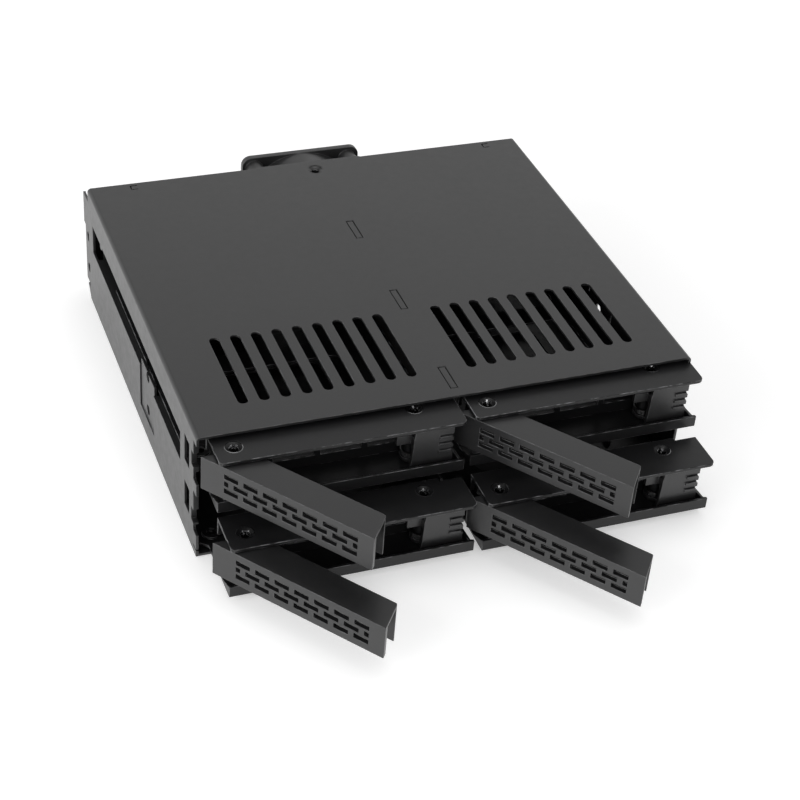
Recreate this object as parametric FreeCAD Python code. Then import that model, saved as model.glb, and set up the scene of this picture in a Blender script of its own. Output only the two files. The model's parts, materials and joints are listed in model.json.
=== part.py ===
import FreeCAD, Part
import math
import os

os.makedirs("parts", exist_ok=True)
V = FreeCAD.Vector

# Millimetres. X runs to the right, Y from the front to the rear, +Z up.
# Lengths along Y below are counted from the front edge of the shell, which
# faces -Y. The finished pieces are moved so that the origin lies at the
# middle of the shell's bottom.

# Cage: a half-height 5.25-inch bay device.
CAGE_WIDTH = 146.0
CAGE_HEIGHT = 41.3
SHELL_SHEET = 0.8
INNER_SHEET = 0.8
BEND_RADIUS = 1.2

# Clearances.
SLIDE_GAP = 0.3
LID_GAP = 0.4
RUN_GAP = 0.05
SEAT_GAP = 0.05

# Side mounting holes of the 5.25-inch standard.
SIDE_HOLE_R = 1.65
SIDE_HOLE_TAIL = 2.94
SIDE_HOLE_PITCH = 79.24
SIDE_HOLE_LOW = 10.0
SIDE_HOLE_RISE = 11.84

# Cut-outs of the side walls.
WALL_TAIL = 6.8
WALL_TAIL_TOP = 36.5
WALL_TAIL_FOOT = 4.1
TAIL_CHAMFER = 3.4
LONG_OPENING_FRONT = 16.8
LONG_OPENING_INSET = 6.0
LONG_OPENING_RISE = 9.8
TAB_INSET = 12.0
TAB_R = 1.3
PAD_HALF = 8.0
PAD_FOOT = 6.5
PAD_RISE = 2.3
PAD_INSET = 0.4
PAD_SLIT = 0.5
FLAP_REACH = 5.5
FLAP_ROOM = 1.5
HOOK_WINDOW_Y = (7.2, 12.2)
HOOK_WINDOW_LOWER = (-10.3, -1.9)
HOOK_WINDOW_UPPER = (-14.0, -5.4)
EDGE_SETBACK = 3.0
# Stretches of the front edge that are set back, from the top of each tray: low and high.
SETBACK_LOWER = (-12.3, 1.6)
SETBACK_UPPER = (-13.9, -0.9)
RELIEF_Z = (2.0, 2.5)
HEM_LOWER = (-10.8, -1.0)
HEM_UPPER = (-11.8, -2.7)
HEM_DEPTH = 3.4

# Top of the shell.
VENT_COUNT = 9
VENT_GROUPS = (-56.6, 10.0)
VENT_PITCH = 6.07
VENT_WIDTH = 3.0
VENT_Y = (11.5, 43.1)
LUG_STARTS = (3.6, 43.6, 83.6)
LUG_LENGTH = 10.3
LUG_WIDTH = 2.3
LUG_X = 1.25
LID_SCREW_X = 0.8
LID_SCREW_INSET = 4.7
LANCE_LEFT = 13.6
LANCE_RIGHT = 10.7
LANCE_INSET = 2.6

# Divider between the two columns of trays.
DIVIDER_FRONT = 2.0
DIVIDER_FLANGE = 7.0
DIVIDER_SHELF = 4.6
SHELF_FIRST = 17.0
SHELF_SPACE = 3.4
SHELF_COUNT = 4

# Bottom plate.
RUNNER_HEIGHT = 0.9
RUNNER_WIDTH = 3.0
RUNNER_FRONT = 8.0
RUNNER_INSET = 13.6
BOTTOM_SCREW_SIDE = 22.2
BOTTOM_SCREW_INSET = 3.6

# Trays. Tray lengths are counted from the left front corner of its top plate.
HOOK_ROOM = 2.9
TRAY_SPACE = 1.7
PAN_SHORT = 2.75
CLOSED_OUT = 3.2
UPPER_LEFT_OUT = 9.6
UPPER_RIGHT_OUT = 8.6
LOWER_LEFT_OUT = 21.8
LOWER_RIGHT_OUT = 22.6
PLATE_SHEET = 1.0
PLATE_DEPTH = 14.0
WING_DEPTH = 12.8
WING_WIDTH = 6.6
WING_ROOM = 0.4
LIP_SETBACK = 1.5
LIP_HEIGHT = 3.5
LIP_RETURN = 6.5
LIP_PROUD = 0.8
RETURN_LENGTH = 7.4
RETURN_DROP = 0.7
RETURN_ROOM = 0.4
PAN_SIDE = 2.0
PAN_STEP = 24.2
PAN_OPENINGS = (16.0, 52.0)
PAN_OPENING = 28.0
PAN_RIM = 12.0
PAN_TAPER = 4.0
WEB_PITCH = 13.7
WEB_BAR = 2.0
WEB_EDGE = 1.2
WEB_FIRST = 15.6
WEB_SILL = 3.5
WEB_HEAD = 1.2
PLATE_CORNER = 1.8

# The 2.5-inch drive that a tray carries.
DRIVE_LENGTH = 100.35
DRIVE_SCREW_SPAN = 61.72
DRIVE_SCREW_REAR = 14.0
DRIVE_SCREW_FRONT = 90.6
DRIVE_START = 17.4
DRIVE_PAD = 0.6

# Handle, drawn closed and then swung open about its pin.
HANDLE_OPEN = 52.4
PIVOT_X = 5.5
PIVOT_Y = 6.2
PIVOT_R = 2.0
HANDLE_FACE = -1.1
HANDLE_LEFT = 0.25
HANDLE_DEPTH = 9.5
HANDLE_SKEW = 2.5
HANDLE_LIFT = 5.1
HANDLE_FRONT_WALL = 1.8
HANDLE_WALL = 1.0
HANDLE_BACK_START = 12.0
HANDLE_BACK_DROP = 1.9
HANDLE_CORNER = 0.8
STEM_LENGTH = 9.0
STEM_POCKET = (4.4, 7.2)
STEM_POCKET_DEPTH = 4.0
BARREL_R = 3.4
HEEL_LENGTH = 4.5
NOSE_REACH = 3.5
NOSE_Y = (10.7, 12.1)
NOSE_RISE = (2.2, 6.0)
NOSE_ROOM = 0.4
NOSE_NOTCH = 5.1

# Slots of the handle's face, laid like bricks.
BRICK_GAP = 1.7
BRICK_HEIGHT = 1.6
BRICK_DEPTH = 1.4
BRICK_ROW = 2.35
BRICK_COUNT = 7
BRICK_START = 7.6
BRICK_END = 4.85

# Latch, hinged on the right pillar.
LATCH_PIN_INSET = 12.2
LATCH_PIN_Y = 9.8
LATCH_PIN_R = 2.3
LATCH_GAP = 1.2
LATCH_RIGHT_INSET = 2.2
LATCH_WIDTH = 11.8
LATCH_LEAN = 0.5
LATCH_FACE = 3.5
LATCH_SHEET = 1.2
LATCH_EAR_R = 3.1
LATCH_SIDE_DEPTH = 3.5
LATCH_HOOK_GRIP = 0.4
LATCH_HOOK_THICK = 1.3
LATCH_HOOK_RISE = (2.9, 5.9)
RIDGE_COUNT = 3
RIDGE_PITCH = 2.35
RIDGE_FIRST = -6.6
RIDGE_LENGTH = 3.6
RIDGE_HEIGHT = 0.9
RIDGE_PROUD = 0.5
NOTCH_WIDTH = 0.7

# Springs on the pillars.
WIRE_R = 0.3
COIL_PITCH = 0.75
COIL_COUNT = 3
COIL_GAP = 0.15

# Countersunk M3 screws.
SCREW_R = 1.25
SCREW_HEAD_R = 2.7
SCREW_HEAD = 0.8
SCREW_LENGTH = 6.0
CROSS_LENGTH = 3.0
CROSS_WIDTH = 0.6
CROSS_DEPTH = 0.7

# Backplane and what it carries.
BOARD_SHEET = 1.6
BOARD_EDGE = 2.0
CONNECTOR_LENGTH = 7.2
CONNECTOR_WIDTH = 41.5
CONNECTOR_HEIGHT = 5.0
CONNECTOR_RISE = 1.1
CONNECTOR_SIGNAL = 11.0
CONNECTOR_KEY = 1.6
CONNECTOR_FLOOR = 2.2
BLADE_INSET = 1.0
BLADE_RAIL = 1.2
BLADE_TUCK = 0.8
MATE_GAP = 0.75
AIR_HALF_X = 13.0
AIR_HALF_Z = 14.5
PORT_LENGTH = 8.0
PORT_SIDE = 41.2
PORT_WIDTH = 14.0
PORT_HEIGHT = 6.0
PORT_SPREAD = 10.5
INLET_SIDE = 17.2
INLET_WIDTH = 24.0
INLET_HEIGHT = 6.5
SOCKET_WALL = 1.0
CUTOUT_GAP = 0.4
STANDOFF_R = 2.5
STANDOFF_SIDE = 6.2
STANDOFF_LENGTH = 6.7
BOARD_SCREW_BITE = 4.0
STANDOFF_SPREAD = 14.5
REAR_FLANGE = 5.6

# Fan.
FAN_FOOT = 0.5
FAN_DEPTH = 10.0
FAN_CORNER = 3.0
FAN_FLANGE = 2.0
FAN_RIM = 1.0
FAN_BARREL = 0.8
FAN_HOLE_INSET = 4.0
FAN_HOLE_R = 1.7
FAN_POST_R = 3.0
ROTOR_ROOM = 0.6
ROTOR_HUB_R = 10.4
ROTOR_CUP = 0.9
ROTOR_LENGTH = 6.6
ROTOR_START = 0.9
SHAFT_R = 1.0
BEARING_R = 2.6
MOTOR_BASE_R = 9.6
MOTOR_BASE = 1.4
STATOR_R = 8.6
BLADE_COUNT = 7
BLADE_THICK = 0.8
BLADE_ROOT = (7.4, 48.0, 0.7)
BLADE_TIP = (10.4, 31.0, 0.9)
ARM_COUNT = 4
ARM_WIDTH = 2.4
FAN_SCREW_HEAD_R = 2.8
FAN_SCREW_HEAD = 1.5

# Sizes that follow from those above.
HALF_WIDTH = CAGE_WIDTH / 2
INNER_HALF = HALF_WIDTH - SHELL_SHEET
HALF_SHEET = INNER_SHEET / 2
BAY_WIDTH = INNER_HALF - HALF_SHEET
TRAY_WIDTH = BAY_WIDTH - HOOK_ROOM - PAD_INSET - SLIDE_GAP
PLATE_WIDTH = BAY_WIDTH - HOOK_ROOM + SHELL_SHEET
LID_UNDER = CAGE_HEIGHT - SHELL_SHEET
UPPER_TOP = LID_UNDER - INNER_SHEET - LID_GAP
PAN_LOWEST = SHELL_SHEET + RUNNER_HEIGHT + SLIDE_GAP
TRAY_HEIGHT = (UPPER_TOP - PAN_LOWEST - TRAY_SPACE) / 2
LOWER_TOP = PAN_LOWEST + TRAY_HEIGHT
SHELF_TOP = UPPER_TOP - TRAY_HEIGHT - SLIDE_GAP
PLATE_UNDER = -PLATE_SHEET
PAN_UNDER = -TRAY_HEIGHT
PAN_TOP = PAN_UNDER + INNER_SHEET
DRIVE_MIDDLE = BAY_WIDTH / 2 - HOOK_ROOM
DRIVE_END = DRIVE_START + DRIVE_LENGTH
TRAY_LENGTH = DRIVE_END - PAN_SHORT
BOARD_FRONT = DRIVE_END - CLOSED_OUT + MATE_GAP + CONNECTOR_LENGTH
BOARD_BACK = BOARD_FRONT + BOARD_SHEET
PANEL_FRONT = BOARD_BACK + STANDOFF_LENGTH
CAGE_DEPTH = PANEL_FRONT + INNER_SHEET
SIDE_HOLE_REAR = CAGE_DEPTH + SIDE_HOLE_TAIL
SIDE_HOLE_FIRST = SIDE_HOLE_REAR - SIDE_HOLE_PITCH
LONG_OPENING = (LONG_OPENING_FRONT, CAGE_DEPTH - LONG_OPENING_INSET)
SHELF_PITCH = (BOARD_FRONT - SHELF_FIRST) / SHELF_COUNT
RUNNER_ENDS = (RUNNER_FRONT, CAGE_DEPTH - RUNNER_INSET)
FAN_SIZE = LID_UNDER - FAN_FOOT
FAN_MIDDLE = FAN_FOOT + FAN_SIZE / 2
FAN_BORE_R = FAN_SIZE / 2 - FAN_RIM
FAN_BARREL_R = FAN_BORE_R + FAN_BARREL
FAN_HOLE_HALF = FAN_SIZE / 2 - FAN_HOLE_INSET
ROTOR_TIP_R = FAN_BORE_R - ROTOR_ROOM
HANDLE_TOP = PLATE_UNDER - SLIDE_GAP
HANDLE_UNDER = PAN_TOP + HANDLE_LIFT
HANDLE_HEIGHT = HANDLE_TOP - HANDLE_UNDER
NOSE_Z = (HANDLE_UNDER + NOSE_RISE[0], HANDLE_UNDER + NOSE_RISE[1])
HOOK_Z = (HANDLE_UNDER + LATCH_HOOK_RISE[0], HANDLE_UNDER + LATCH_HOOK_RISE[1])
LATCH_PIN_X = PLATE_WIDTH - LATCH_PIN_INSET
LATCH_RIGHT = PLATE_WIDTH - LATCH_RIGHT_INSET
LATCH_LEFT = LATCH_RIGHT - LATCH_WIDTH
HANDLE_RIGHT = LATCH_LEFT - LATCH_GAP
HANDLE_BACK = HANDLE_FACE + HANDLE_DEPTH
HANDLE_BACK_RIGHT = HANDLE_RIGHT - HANDLE_SKEW
BRICK_FIELD = HANDLE_RIGHT - HANDLE_LEFT - BRICK_START - BRICK_END
BRICK_PITCH = (BRICK_FIELD + BRICK_GAP) / BRICK_COUNT
BRICK_LENGTH = BRICK_PITCH - BRICK_GAP
WEB_FRONT = PLATE_DEPTH - INNER_SHEET
LANCES_X = (LANCE_LEFT - INNER_HALF, INNER_HALF - LANCE_RIGHT)
BOTTOM_SCREW_X = INNER_HALF - BOTTOM_SCREW_SIDE
STANDOFF_X = INNER_HALF - STANDOFF_SIDE
PORT_X = INNER_HALF - PORT_SIDE
INLET_X = INNER_HALF - INLET_SIDE
# Front edge of a wall from the bottom up: (height, how far it is set back).
EDGE_STEPS = (
    (RELIEF_Z[0], 0.0), (RELIEF_Z[1], EDGE_SETBACK),
    (LOWER_TOP + SETBACK_LOWER[0], 0.0), (LOWER_TOP + SETBACK_LOWER[1], EDGE_SETBACK),
    (UPPER_TOP + SETBACK_UPPER[0], 0.0), (UPPER_TOP + SETBACK_UPPER[1], EDGE_SETBACK),
    (CAGE_HEIGHT, 0.0),
)
HEMS_Z = (
    (LOWER_TOP + HEM_LOWER[0], LOWER_TOP + HEM_LOWER[1]),
    (UPPER_TOP + HEM_UPPER[0], UPPER_TOP + HEM_UPPER[1]),
)
HOOK_WINDOWS_Z = (
    (LOWER_TOP + HOOK_WINDOW_LOWER[0], LOWER_TOP + HOOK_WINDOW_LOWER[1]),
    (UPPER_TOP + HOOK_WINDOW_UPPER[0], UPPER_TOP + HOOK_WINDOW_UPPER[1]),
)
# Each tray: name, left edge of its plate, how far it is out, top of its plate.
TRAYS = (
    ("upper_left", -INNER_HALF + HOOK_ROOM, UPPER_LEFT_OUT, UPPER_TOP),
    ("upper_right", HALF_SHEET + HOOK_ROOM, UPPER_RIGHT_OUT, UPPER_TOP),
    ("lower_left", -INNER_HALF + HOOK_ROOM, LOWER_LEFT_OUT, LOWER_TOP),
    ("lower_right", HALF_SHEET + HOOK_ROOM, LOWER_RIGHT_OUT, LOWER_TOP),
)


def box(x0, x1, y0, y1, z0, z1):
    return Part.makeBox(x1 - x0, y1 - y0, z1 - z0, V(x0, y0, z0))


def rod(x, y, z0, z1, r):
    return Part.makeCylinder(r, z1 - z0, V(x, y, z0))


def rod_x(y, z, x0, x1, r):
    return Part.makeCylinder(r, x1 - x0, V(x0, y, z), V(1, 0, 0))


def rod_y(x, z, y0, y1, r):
    return Part.makeCylinder(r, y1 - y0, V(x, y0, z), V(0, 1, 0))


def prism(points, z0, z1):
    """Extrudes an outline in the XY plane from z0 to z1."""
    ring = [V(x, y, z0) for x, y in points]
    face = Part.Face(Part.makePolygon(ring + ring[:1]))
    return face.extrude(V(0, 0, z1 - z0))


def prism_x(points, x0, x1):
    """Extrudes an outline in the YZ plane from x0 to x1."""
    ring = [V(x0, y, z) for y, z in points]
    face = Part.Face(Part.makePolygon(ring + ring[:1]))
    return face.extrude(V(x1 - x0, 0, 0))


def prism_y(points, y0, y1):
    """Extrudes an outline in the XZ plane from y0 to y1."""
    ring = [V(x, y0, z) for x, z in points]
    face = Part.Face(Part.makePolygon(ring + ring[:1]))
    return face.extrude(V(0, y1 - y0, 0))


def slot(x, y0, y1, width, z0, z1):
    """A slot along Y with round ends."""
    r = width / 2
    middle = box(x - r, x + r, y0 + r, y1 - r, z0, z1)
    return middle.fuse([rod(x, y0 + r, z0, z1, r), rod(x, y1 - r, z0, z1, r)]).removeSplitter()


def upright_edges(shape):
    """The edges of a shape that run along Z."""
    found = []
    for edge in shape.Edges:
        a = edge.Vertexes[0].Point
        b = edge.Vertexes[-1].Point
        if abs(a.x - b.x) < 1e-6 and abs(a.y - b.y) < 1e-6 and abs(a.z - b.z) > 1e-6:
            found.append(edge)
    return found


def soft_box(x0, x1, y0, y1, z0, z1, r):
    """A box with its four upright edges rounded."""
    body = box(x0, x1, y0, y1, z0, z1)
    return body.makeFillet(r, upright_edges(body))


def soft_box_y(x0, x1, y0, y1, z0, z1, r):
    """A box with its four edges along Y rounded."""
    body = box(x0, x1, y0, y1, z0, z1)
    along = []
    for edge in body.Edges:
        a = edge.Vertexes[0].Point
        b = edge.Vertexes[-1].Point
        if abs(a.y - b.y) > 1e-6:
            along.append(edge)
    return body.makeFillet(r, along)


def mirrored(shape):
    """The same shape on the other side of the cage."""
    return shape.mirror(V(0, 0, 0), V(1, 0, 0))


def screw(x, y, top, length, up=True):
    """A countersunk screw, its head flush with the height given."""
    way = 1 if up else -1
    down = V(0, 0, -way)
    head = Part.makeCone(SCREW_HEAD_R, SCREW_R, SCREW_HEAD, V(x, y, top), down)
    shank = Part.makeCylinder(SCREW_R, length - SCREW_HEAD, V(x, y, top - way * SCREW_HEAD), down)
    body = head.fuse(shank).removeSplitter()
    half = CROSS_LENGTH / 2
    thin = CROSS_WIDTH / 2
    low = min(top, top - way * CROSS_DEPTH)
    high = max(top, top - way * CROSS_DEPTH)
    cross = box(x - half, x + half, y - thin, y + thin, low, high)
    cross = cross.fuse(box(x - thin, x + thin, y - half, y + half, low, high))
    return body.cut(cross)


def screw_hole(x, y, top, sheet, up=True):
    """The countersunk hole that takes such a screw."""
    way = 1 if up else -1
    wide = SCREW_HEAD_R + SEAT_GAP
    narrow = SCREW_R + SEAT_GAP
    cone = Part.makeCone(wide, narrow, SCREW_HEAD, V(x, y, top), V(0, 0, -way))
    low = min(top, top - way * sheet)
    high = max(top, top - way * sheet)
    return cone.fuse(rod(x, y, low - 1, high + 1, narrow))


def wall_edge():
    """Front edge of a wall: folded stretches set back, with reliefs between them."""
    points = []
    low = 0.0
    for high, back in EDGE_STEPS:
        points.append((back, low))
        points.append((back, high))
        low = high
    return points


def wing_notches(x0, x1):
    """Notches in the front edge of a wall, where the wings of closed trays lie."""
    depth = WING_DEPTH - CLOSED_OUT + WING_ROOM
    cuts = []
    for top in (UPPER_TOP, LOWER_TOP):
        cuts.append(box(x0, x1, -1, depth, top - PLATE_SHEET - WING_ROOM, top + WING_ROOM))
    return cuts


def return_notches(x0, x1):
    """Notches in the front edge of a wall, where the lip returns of closed trays lie."""
    depth = LIP_SETBACK + RETURN_LENGTH - CLOSED_OUT + RETURN_ROOM
    cuts = []
    for top in (UPPER_TOP, LOWER_TOP):
        low = top + PAN_UNDER
        cuts.append(box(x0, x1, -1, depth, low - RETURN_ROOM, low + LIP_HEIGHT + RETURN_ROOM))
    return cuts


def nose_notches(x0, x1):
    """Notches in the front edge of a wall, which the nose of a closing handle swings through."""
    cuts = []
    for top in (UPPER_TOP, LOWER_TOP):
        cuts.append(box(x0, x1, -1, NOSE_NOTCH, top + NOSE_Z[0] - NOSE_ROOM, top + NOSE_Z[1] + NOSE_ROOM))
    return cuts


def side_wall_cuts(below):
    """What is cut from either side wall, drawn on the left. Its long opening lies over or below the shelves."""
    front, rear = LONG_OPENING
    pad_top = SHELF_TOP + PAD_RISE
    pad_front = SIDE_HOLE_FIRST - PAD_HALF
    pad_rear = SIDE_HOLE_FIRST + PAD_HALF
    x0 = -HALF_WIDTH - 1
    x1 = -INNER_HALF + 1
    if below:
        low = SHELF_TOP - SHELL_SHEET - FLAP_REACH
        opening = box(x0, x1, front, rear, low, SHELF_TOP - SHELL_SHEET)
        cuts = [opening.cut(box(x0, x1, pad_front - PAD_SLIT, pad_rear + PAD_SLIT, low - 1, SHELF_TOP))]
    else:
        opening = box(x0, x1, front, rear, SHELF_TOP, SHELF_TOP + LONG_OPENING_RISE)
        opening = opening.cut(rod_x(rear - TAB_INSET, SHELF_TOP + LONG_OPENING_RISE, x0, x1, TAB_R))
        cuts = [opening.cut(box(x0, x1, pad_front, pad_rear, SHELF_TOP, pad_top))]
    for y in (pad_front, pad_rear):
        cuts.append(box(x0, x1, y - PAD_SLIT / 2, y + PAD_SLIT / 2, PAD_FOOT, pad_top + 1))
    for y in (SIDE_HOLE_FIRST, SIDE_HOLE_REAR):
        for z in (SIDE_HOLE_LOW, SIDE_HOLE_LOW + SIDE_HOLE_RISE):
            cuts.append(rod_x(y, z, x0, x1, SIDE_HOLE_R))
    return cuts


def pads():
    """The sunk pads that hold the mounting holes: pocket outside, step inside."""
    pocket = []
    step = []
    pad_top = SHELF_TOP + PAD_RISE
    tail_rear = CAGE_DEPTH + WALL_TAIL
    spans = (
        (SIDE_HOLE_FIRST - PAD_HALF, SIDE_HOLE_FIRST + PAD_HALF, PAD_FOOT),
        (CAGE_DEPTH, tail_rear, WALL_TAIL_FOOT),
    )
    for y0, y1, low in spans:
        pocket.append(box(-HALF_WIDTH - 1, -HALF_WIDTH + PAD_INSET, y0, y1, low, pad_top + 2))
        step.append(box(-INNER_HALF, -INNER_HALF + PAD_INSET, y0, y1, low, pad_top))
    return pocket, step


def side_wall(below):
    """A side wall with its tail, shelf flaps, pads and cut-outs, drawn on the left."""
    tail_rear = CAGE_DEPTH + WALL_TAIL
    wall = box(-HALF_WIDTH, -INNER_HALF, 0, CAGE_DEPTH, 0, CAGE_HEIGHT - BEND_RADIUS)
    tail = [
        (CAGE_DEPTH - 1, 0.6), (CAGE_DEPTH + 0.2, 0.6), (CAGE_DEPTH + TAIL_CHAMFER, WALL_TAIL_FOOT),
        (tail_rear, WALL_TAIL_FOOT), (tail_rear, WALL_TAIL_TOP), (CAGE_DEPTH - 1, WALL_TAIL_TOP),
    ]
    wall = wall.fuse(prism_x(tail, -HALF_WIDTH, -INNER_HALF))
    pocket, step = pads()
    wall = wall.cut(pocket).fuse(step)
    front, rear = LONG_OPENING
    flap_low = SHELF_TOP - SHELL_SHEET
    spans = (
        (front, SIDE_HOLE_FIRST - PAD_HALF - PAD_SLIT),
        (SIDE_HOLE_FIRST + PAD_HALF + PAD_SLIT, BOARD_FRONT - FLAP_ROOM),
    )
    for y0, y1 in spans:
        outline = [
            (-INNER_HALF - 0.2, y0), (-INNER_HALF + FLAP_REACH - 2, y0),
            (-INNER_HALF + FLAP_REACH, y0 + 2), (-INNER_HALF + FLAP_REACH, y1 - 2),
            (-INNER_HALF + FLAP_REACH - 2, y1), (-INNER_HALF - 0.2, y1),
        ]
        wall = wall.fuse(prism(outline, flap_low, SHELF_TOP))
    return wall.cut(side_wall_cuts(below)).removeSplitter()


def left_edge(wall):
    """Folds the stretches of the left front edge that the heels of the handles need."""
    x0 = -HALF_WIDTH - 1
    x1 = -INNER_HALF + SHELL_SHEET + 1
    edge = [(-1.0, 0.0)] + wall_edge() + [(-1.0, CAGE_HEIGHT)]
    wall = wall.cut([prism_x(edge, x0, x1)] + hook_windows(x0, x1))
    for z0, z1 in HEMS_Z:
        hem = box(-INNER_HALF, -INNER_HALF + SHELL_SHEET, EDGE_SETBACK, EDGE_SETBACK + HEM_DEPTH, z0, z1)
        wall = wall.fuse(hem)
    return wall.cut(nose_notches(x0, x1))


def hook_windows(x0, x1):
    """Windows where the nose of a closed handle hooks in."""
    y0, y1 = HOOK_WINDOW_Y
    return [box(x0, x1, y0, y1, z0, z1) for z0, z1 in HOOK_WINDOWS_Z]


def c_lance(x, y):
    """A small C-shaped slit, where a catch of the rear panel is pressed up."""
    top = CAGE_HEIGHT + 1
    outer = soft_box(x - 1.2, x + 1.2, y - 1.3, y + 1.3, LID_UNDER - 1, top, 0.5)
    inner = box(x - 0.8, x + 0.8, y - 0.9, y + 0.9, LID_UNDER - 2, top + 1)
    mouth = box(x + 0.2, x + 3, y - 0.9, y + 0.9, LID_UNDER - 2, top + 1)
    return outer.cut(inner).cut(mouth)


def housing_shell():
    """Top and both side walls, folded from one sheet."""
    top = box(-HALF_WIDTH, HALF_WIDTH, 0, CAGE_DEPTH, LID_UNDER - BEND_RADIUS, CAGE_HEIGHT)
    crown = []
    for edge in top.Edges:
        a = edge.Vertexes[0].Point
        b = edge.Vertexes[-1].Point
        if abs(a.y - b.y) > 1 and a.z > LID_UNDER:
            crown.append(edge)
    top = top.makeFillet(BEND_RADIUS, crown)
    top = top.cut(box(-INNER_HALF, INNER_HALF, -1, CAGE_DEPTH + 1, 0, LID_UNDER))
    notches = wing_notches(INNER_HALF - 1, HALF_WIDTH + 1) + return_notches(INNER_HALF - 1, HALF_WIDTH + 1)
    right = mirrored(side_wall(True)).cut(notches)
    shell = top.fuse([left_edge(side_wall(False)), right])
    cuts = []
    for i in range(VENT_COUNT):
        for first in VENT_GROUPS:
            x = first + i * VENT_PITCH
            cuts.append(slot(x, VENT_Y[0], VENT_Y[1], VENT_WIDTH, LID_UNDER - 1, CAGE_HEIGHT + 1))
    for y in LUG_STARTS:
        x0 = LUG_X - LUG_WIDTH / 2
        cuts.append(box(x0, x0 + LUG_WIDTH, y, y + LUG_LENGTH, LID_UNDER - 1, CAGE_HEIGHT + 1))
    cuts.append(screw_hole(LID_SCREW_X, CAGE_DEPTH - LID_SCREW_INSET, CAGE_HEIGHT, SHELL_SHEET))
    for x in LANCES_X:
        cuts.append(c_lance(x, CAGE_DEPTH - LANCE_INSET))
    return shell.cut(cuts).removeSplitter()


def bottom_plate():
    """Bottom sheet with pressed runners for the lower trays."""
    plate = box(-INNER_HALF, INNER_HALF, 0, CAGE_DEPTH, 0, SHELL_SHEET)
    middles = []
    for name, left, out, top in TRAYS[2:]:
        middles.append(left + RUNNER_WIDTH)
        middles.append(left + TRAY_WIDTH - DIVIDER_FLANGE - RUNNER_WIDTH)
    top = SHELL_SHEET + RUNNER_HEIGHT
    for x in middles:
        plate = plate.fuse(slot(x, RUNNER_ENDS[0], RUNNER_ENDS[1], RUNNER_WIDTH, SHELL_SHEET, top))
    for x in middles:
        groove = slot(x, RUNNER_ENDS[0] + 0.6, RUNNER_ENDS[1] - 0.6, RUNNER_WIDTH - 1.2, -1, RUNNER_HEIGHT)
        plate = plate.cut(groove)
    for side in (-1, 1):
        y = CAGE_DEPTH - BOTTOM_SCREW_INSET
        plate = plate.cut(screw_hole(side * BOTTOM_SCREW_X, y, 0, SHELL_SHEET, False))
    return plate.removeSplitter()


def centre_divider():
    """Upright sheet between the columns, with lanced shelves and pressed lugs."""
    rear = BOARD_FRONT - SLIDE_GAP
    edge = [(max(back, DIVIDER_FRONT), z) for back, z in wall_edge()]
    edge = [(y, min(max(z, SHELL_SHEET), LID_UNDER)) for y, z in edge]
    outline = []
    for point in edge + [(rear, LID_UNDER), (rear, SHELL_SHEET)]:
        if not outline or point != outline[-1]:
            outline.append(point)
    sheet = prism_x(outline, -HALF_SHEET, HALF_SHEET)
    cuts = hook_windows(-1, 1) + wing_notches(-1, 1) + return_notches(-1, 1) + nose_notches(-1, 1)
    parts = [box(-HALF_SHEET, DIVIDER_FLANGE, DIVIDER_FRONT, rear, LID_UNDER - INNER_SHEET, LID_UNDER)]
    parts.append(box(-DIVIDER_FLANGE, HALF_SHEET, DIVIDER_FRONT, rear, SHELL_SHEET, SHELL_SHEET + INNER_SHEET))
    low = SHELF_TOP - INNER_SHEET
    for i in range(SHELF_COUNT):
        y = SHELF_FIRST + i * SHELF_PITCH
        stop = y + SHELF_PITCH - SHELF_SPACE
        side = 1 if i % 2 else -1
        x0, x1 = sorted((0, side * (HALF_SHEET + DIVIDER_SHELF)))
        parts.append(box(x0, x1, y, stop, low, SHELF_TOP))
        cuts.append(box(-1, 1, y, stop, SHELF_TOP, SHELF_TOP + DIVIDER_SHELF))
    for y in LUG_STARTS:
        x0 = LUG_X - LUG_WIDTH / 2 + 0.2
        x1 = LUG_X + LUG_WIDTH / 2 - 0.2
        parts.append(box(x0, x1, y + 0.2, y + LUG_LENGTH - 0.2, LID_UNDER - 0.1, CAGE_HEIGHT - 0.1))
    return sheet.cut(cuts).fuse(parts).removeSplitter()


def standoff_places():
    middle = CAGE_HEIGHT / 2
    places = []
    for side in (-1, 1):
        for rise in (-STANDOFF_SPREAD, STANDOFF_SPREAD):
            places.append((side * STANDOFF_X, middle + rise))
    return places


def port_places():
    places = []
    for side in (-1, 1):
        for rise in (-PORT_SPREAD, PORT_SPREAD):
            places.append((side * PORT_X, CAGE_HEIGHT / 2 + rise, PORT_WIDTH, PORT_HEIGHT))
    return places


def inlet_places():
    return [(side * INLET_X, CAGE_HEIGHT / 2, INLET_WIDTH, INLET_HEIGHT) for side in (-1, 1)]


def fan_places():
    places = []
    for x in (-FAN_HOLE_HALF, FAN_HOLE_HALF):
        for z in (-FAN_HOLE_HALF, FAN_HOLE_HALF):
            places.append((x, FAN_MIDDLE + z))
    return places


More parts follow.
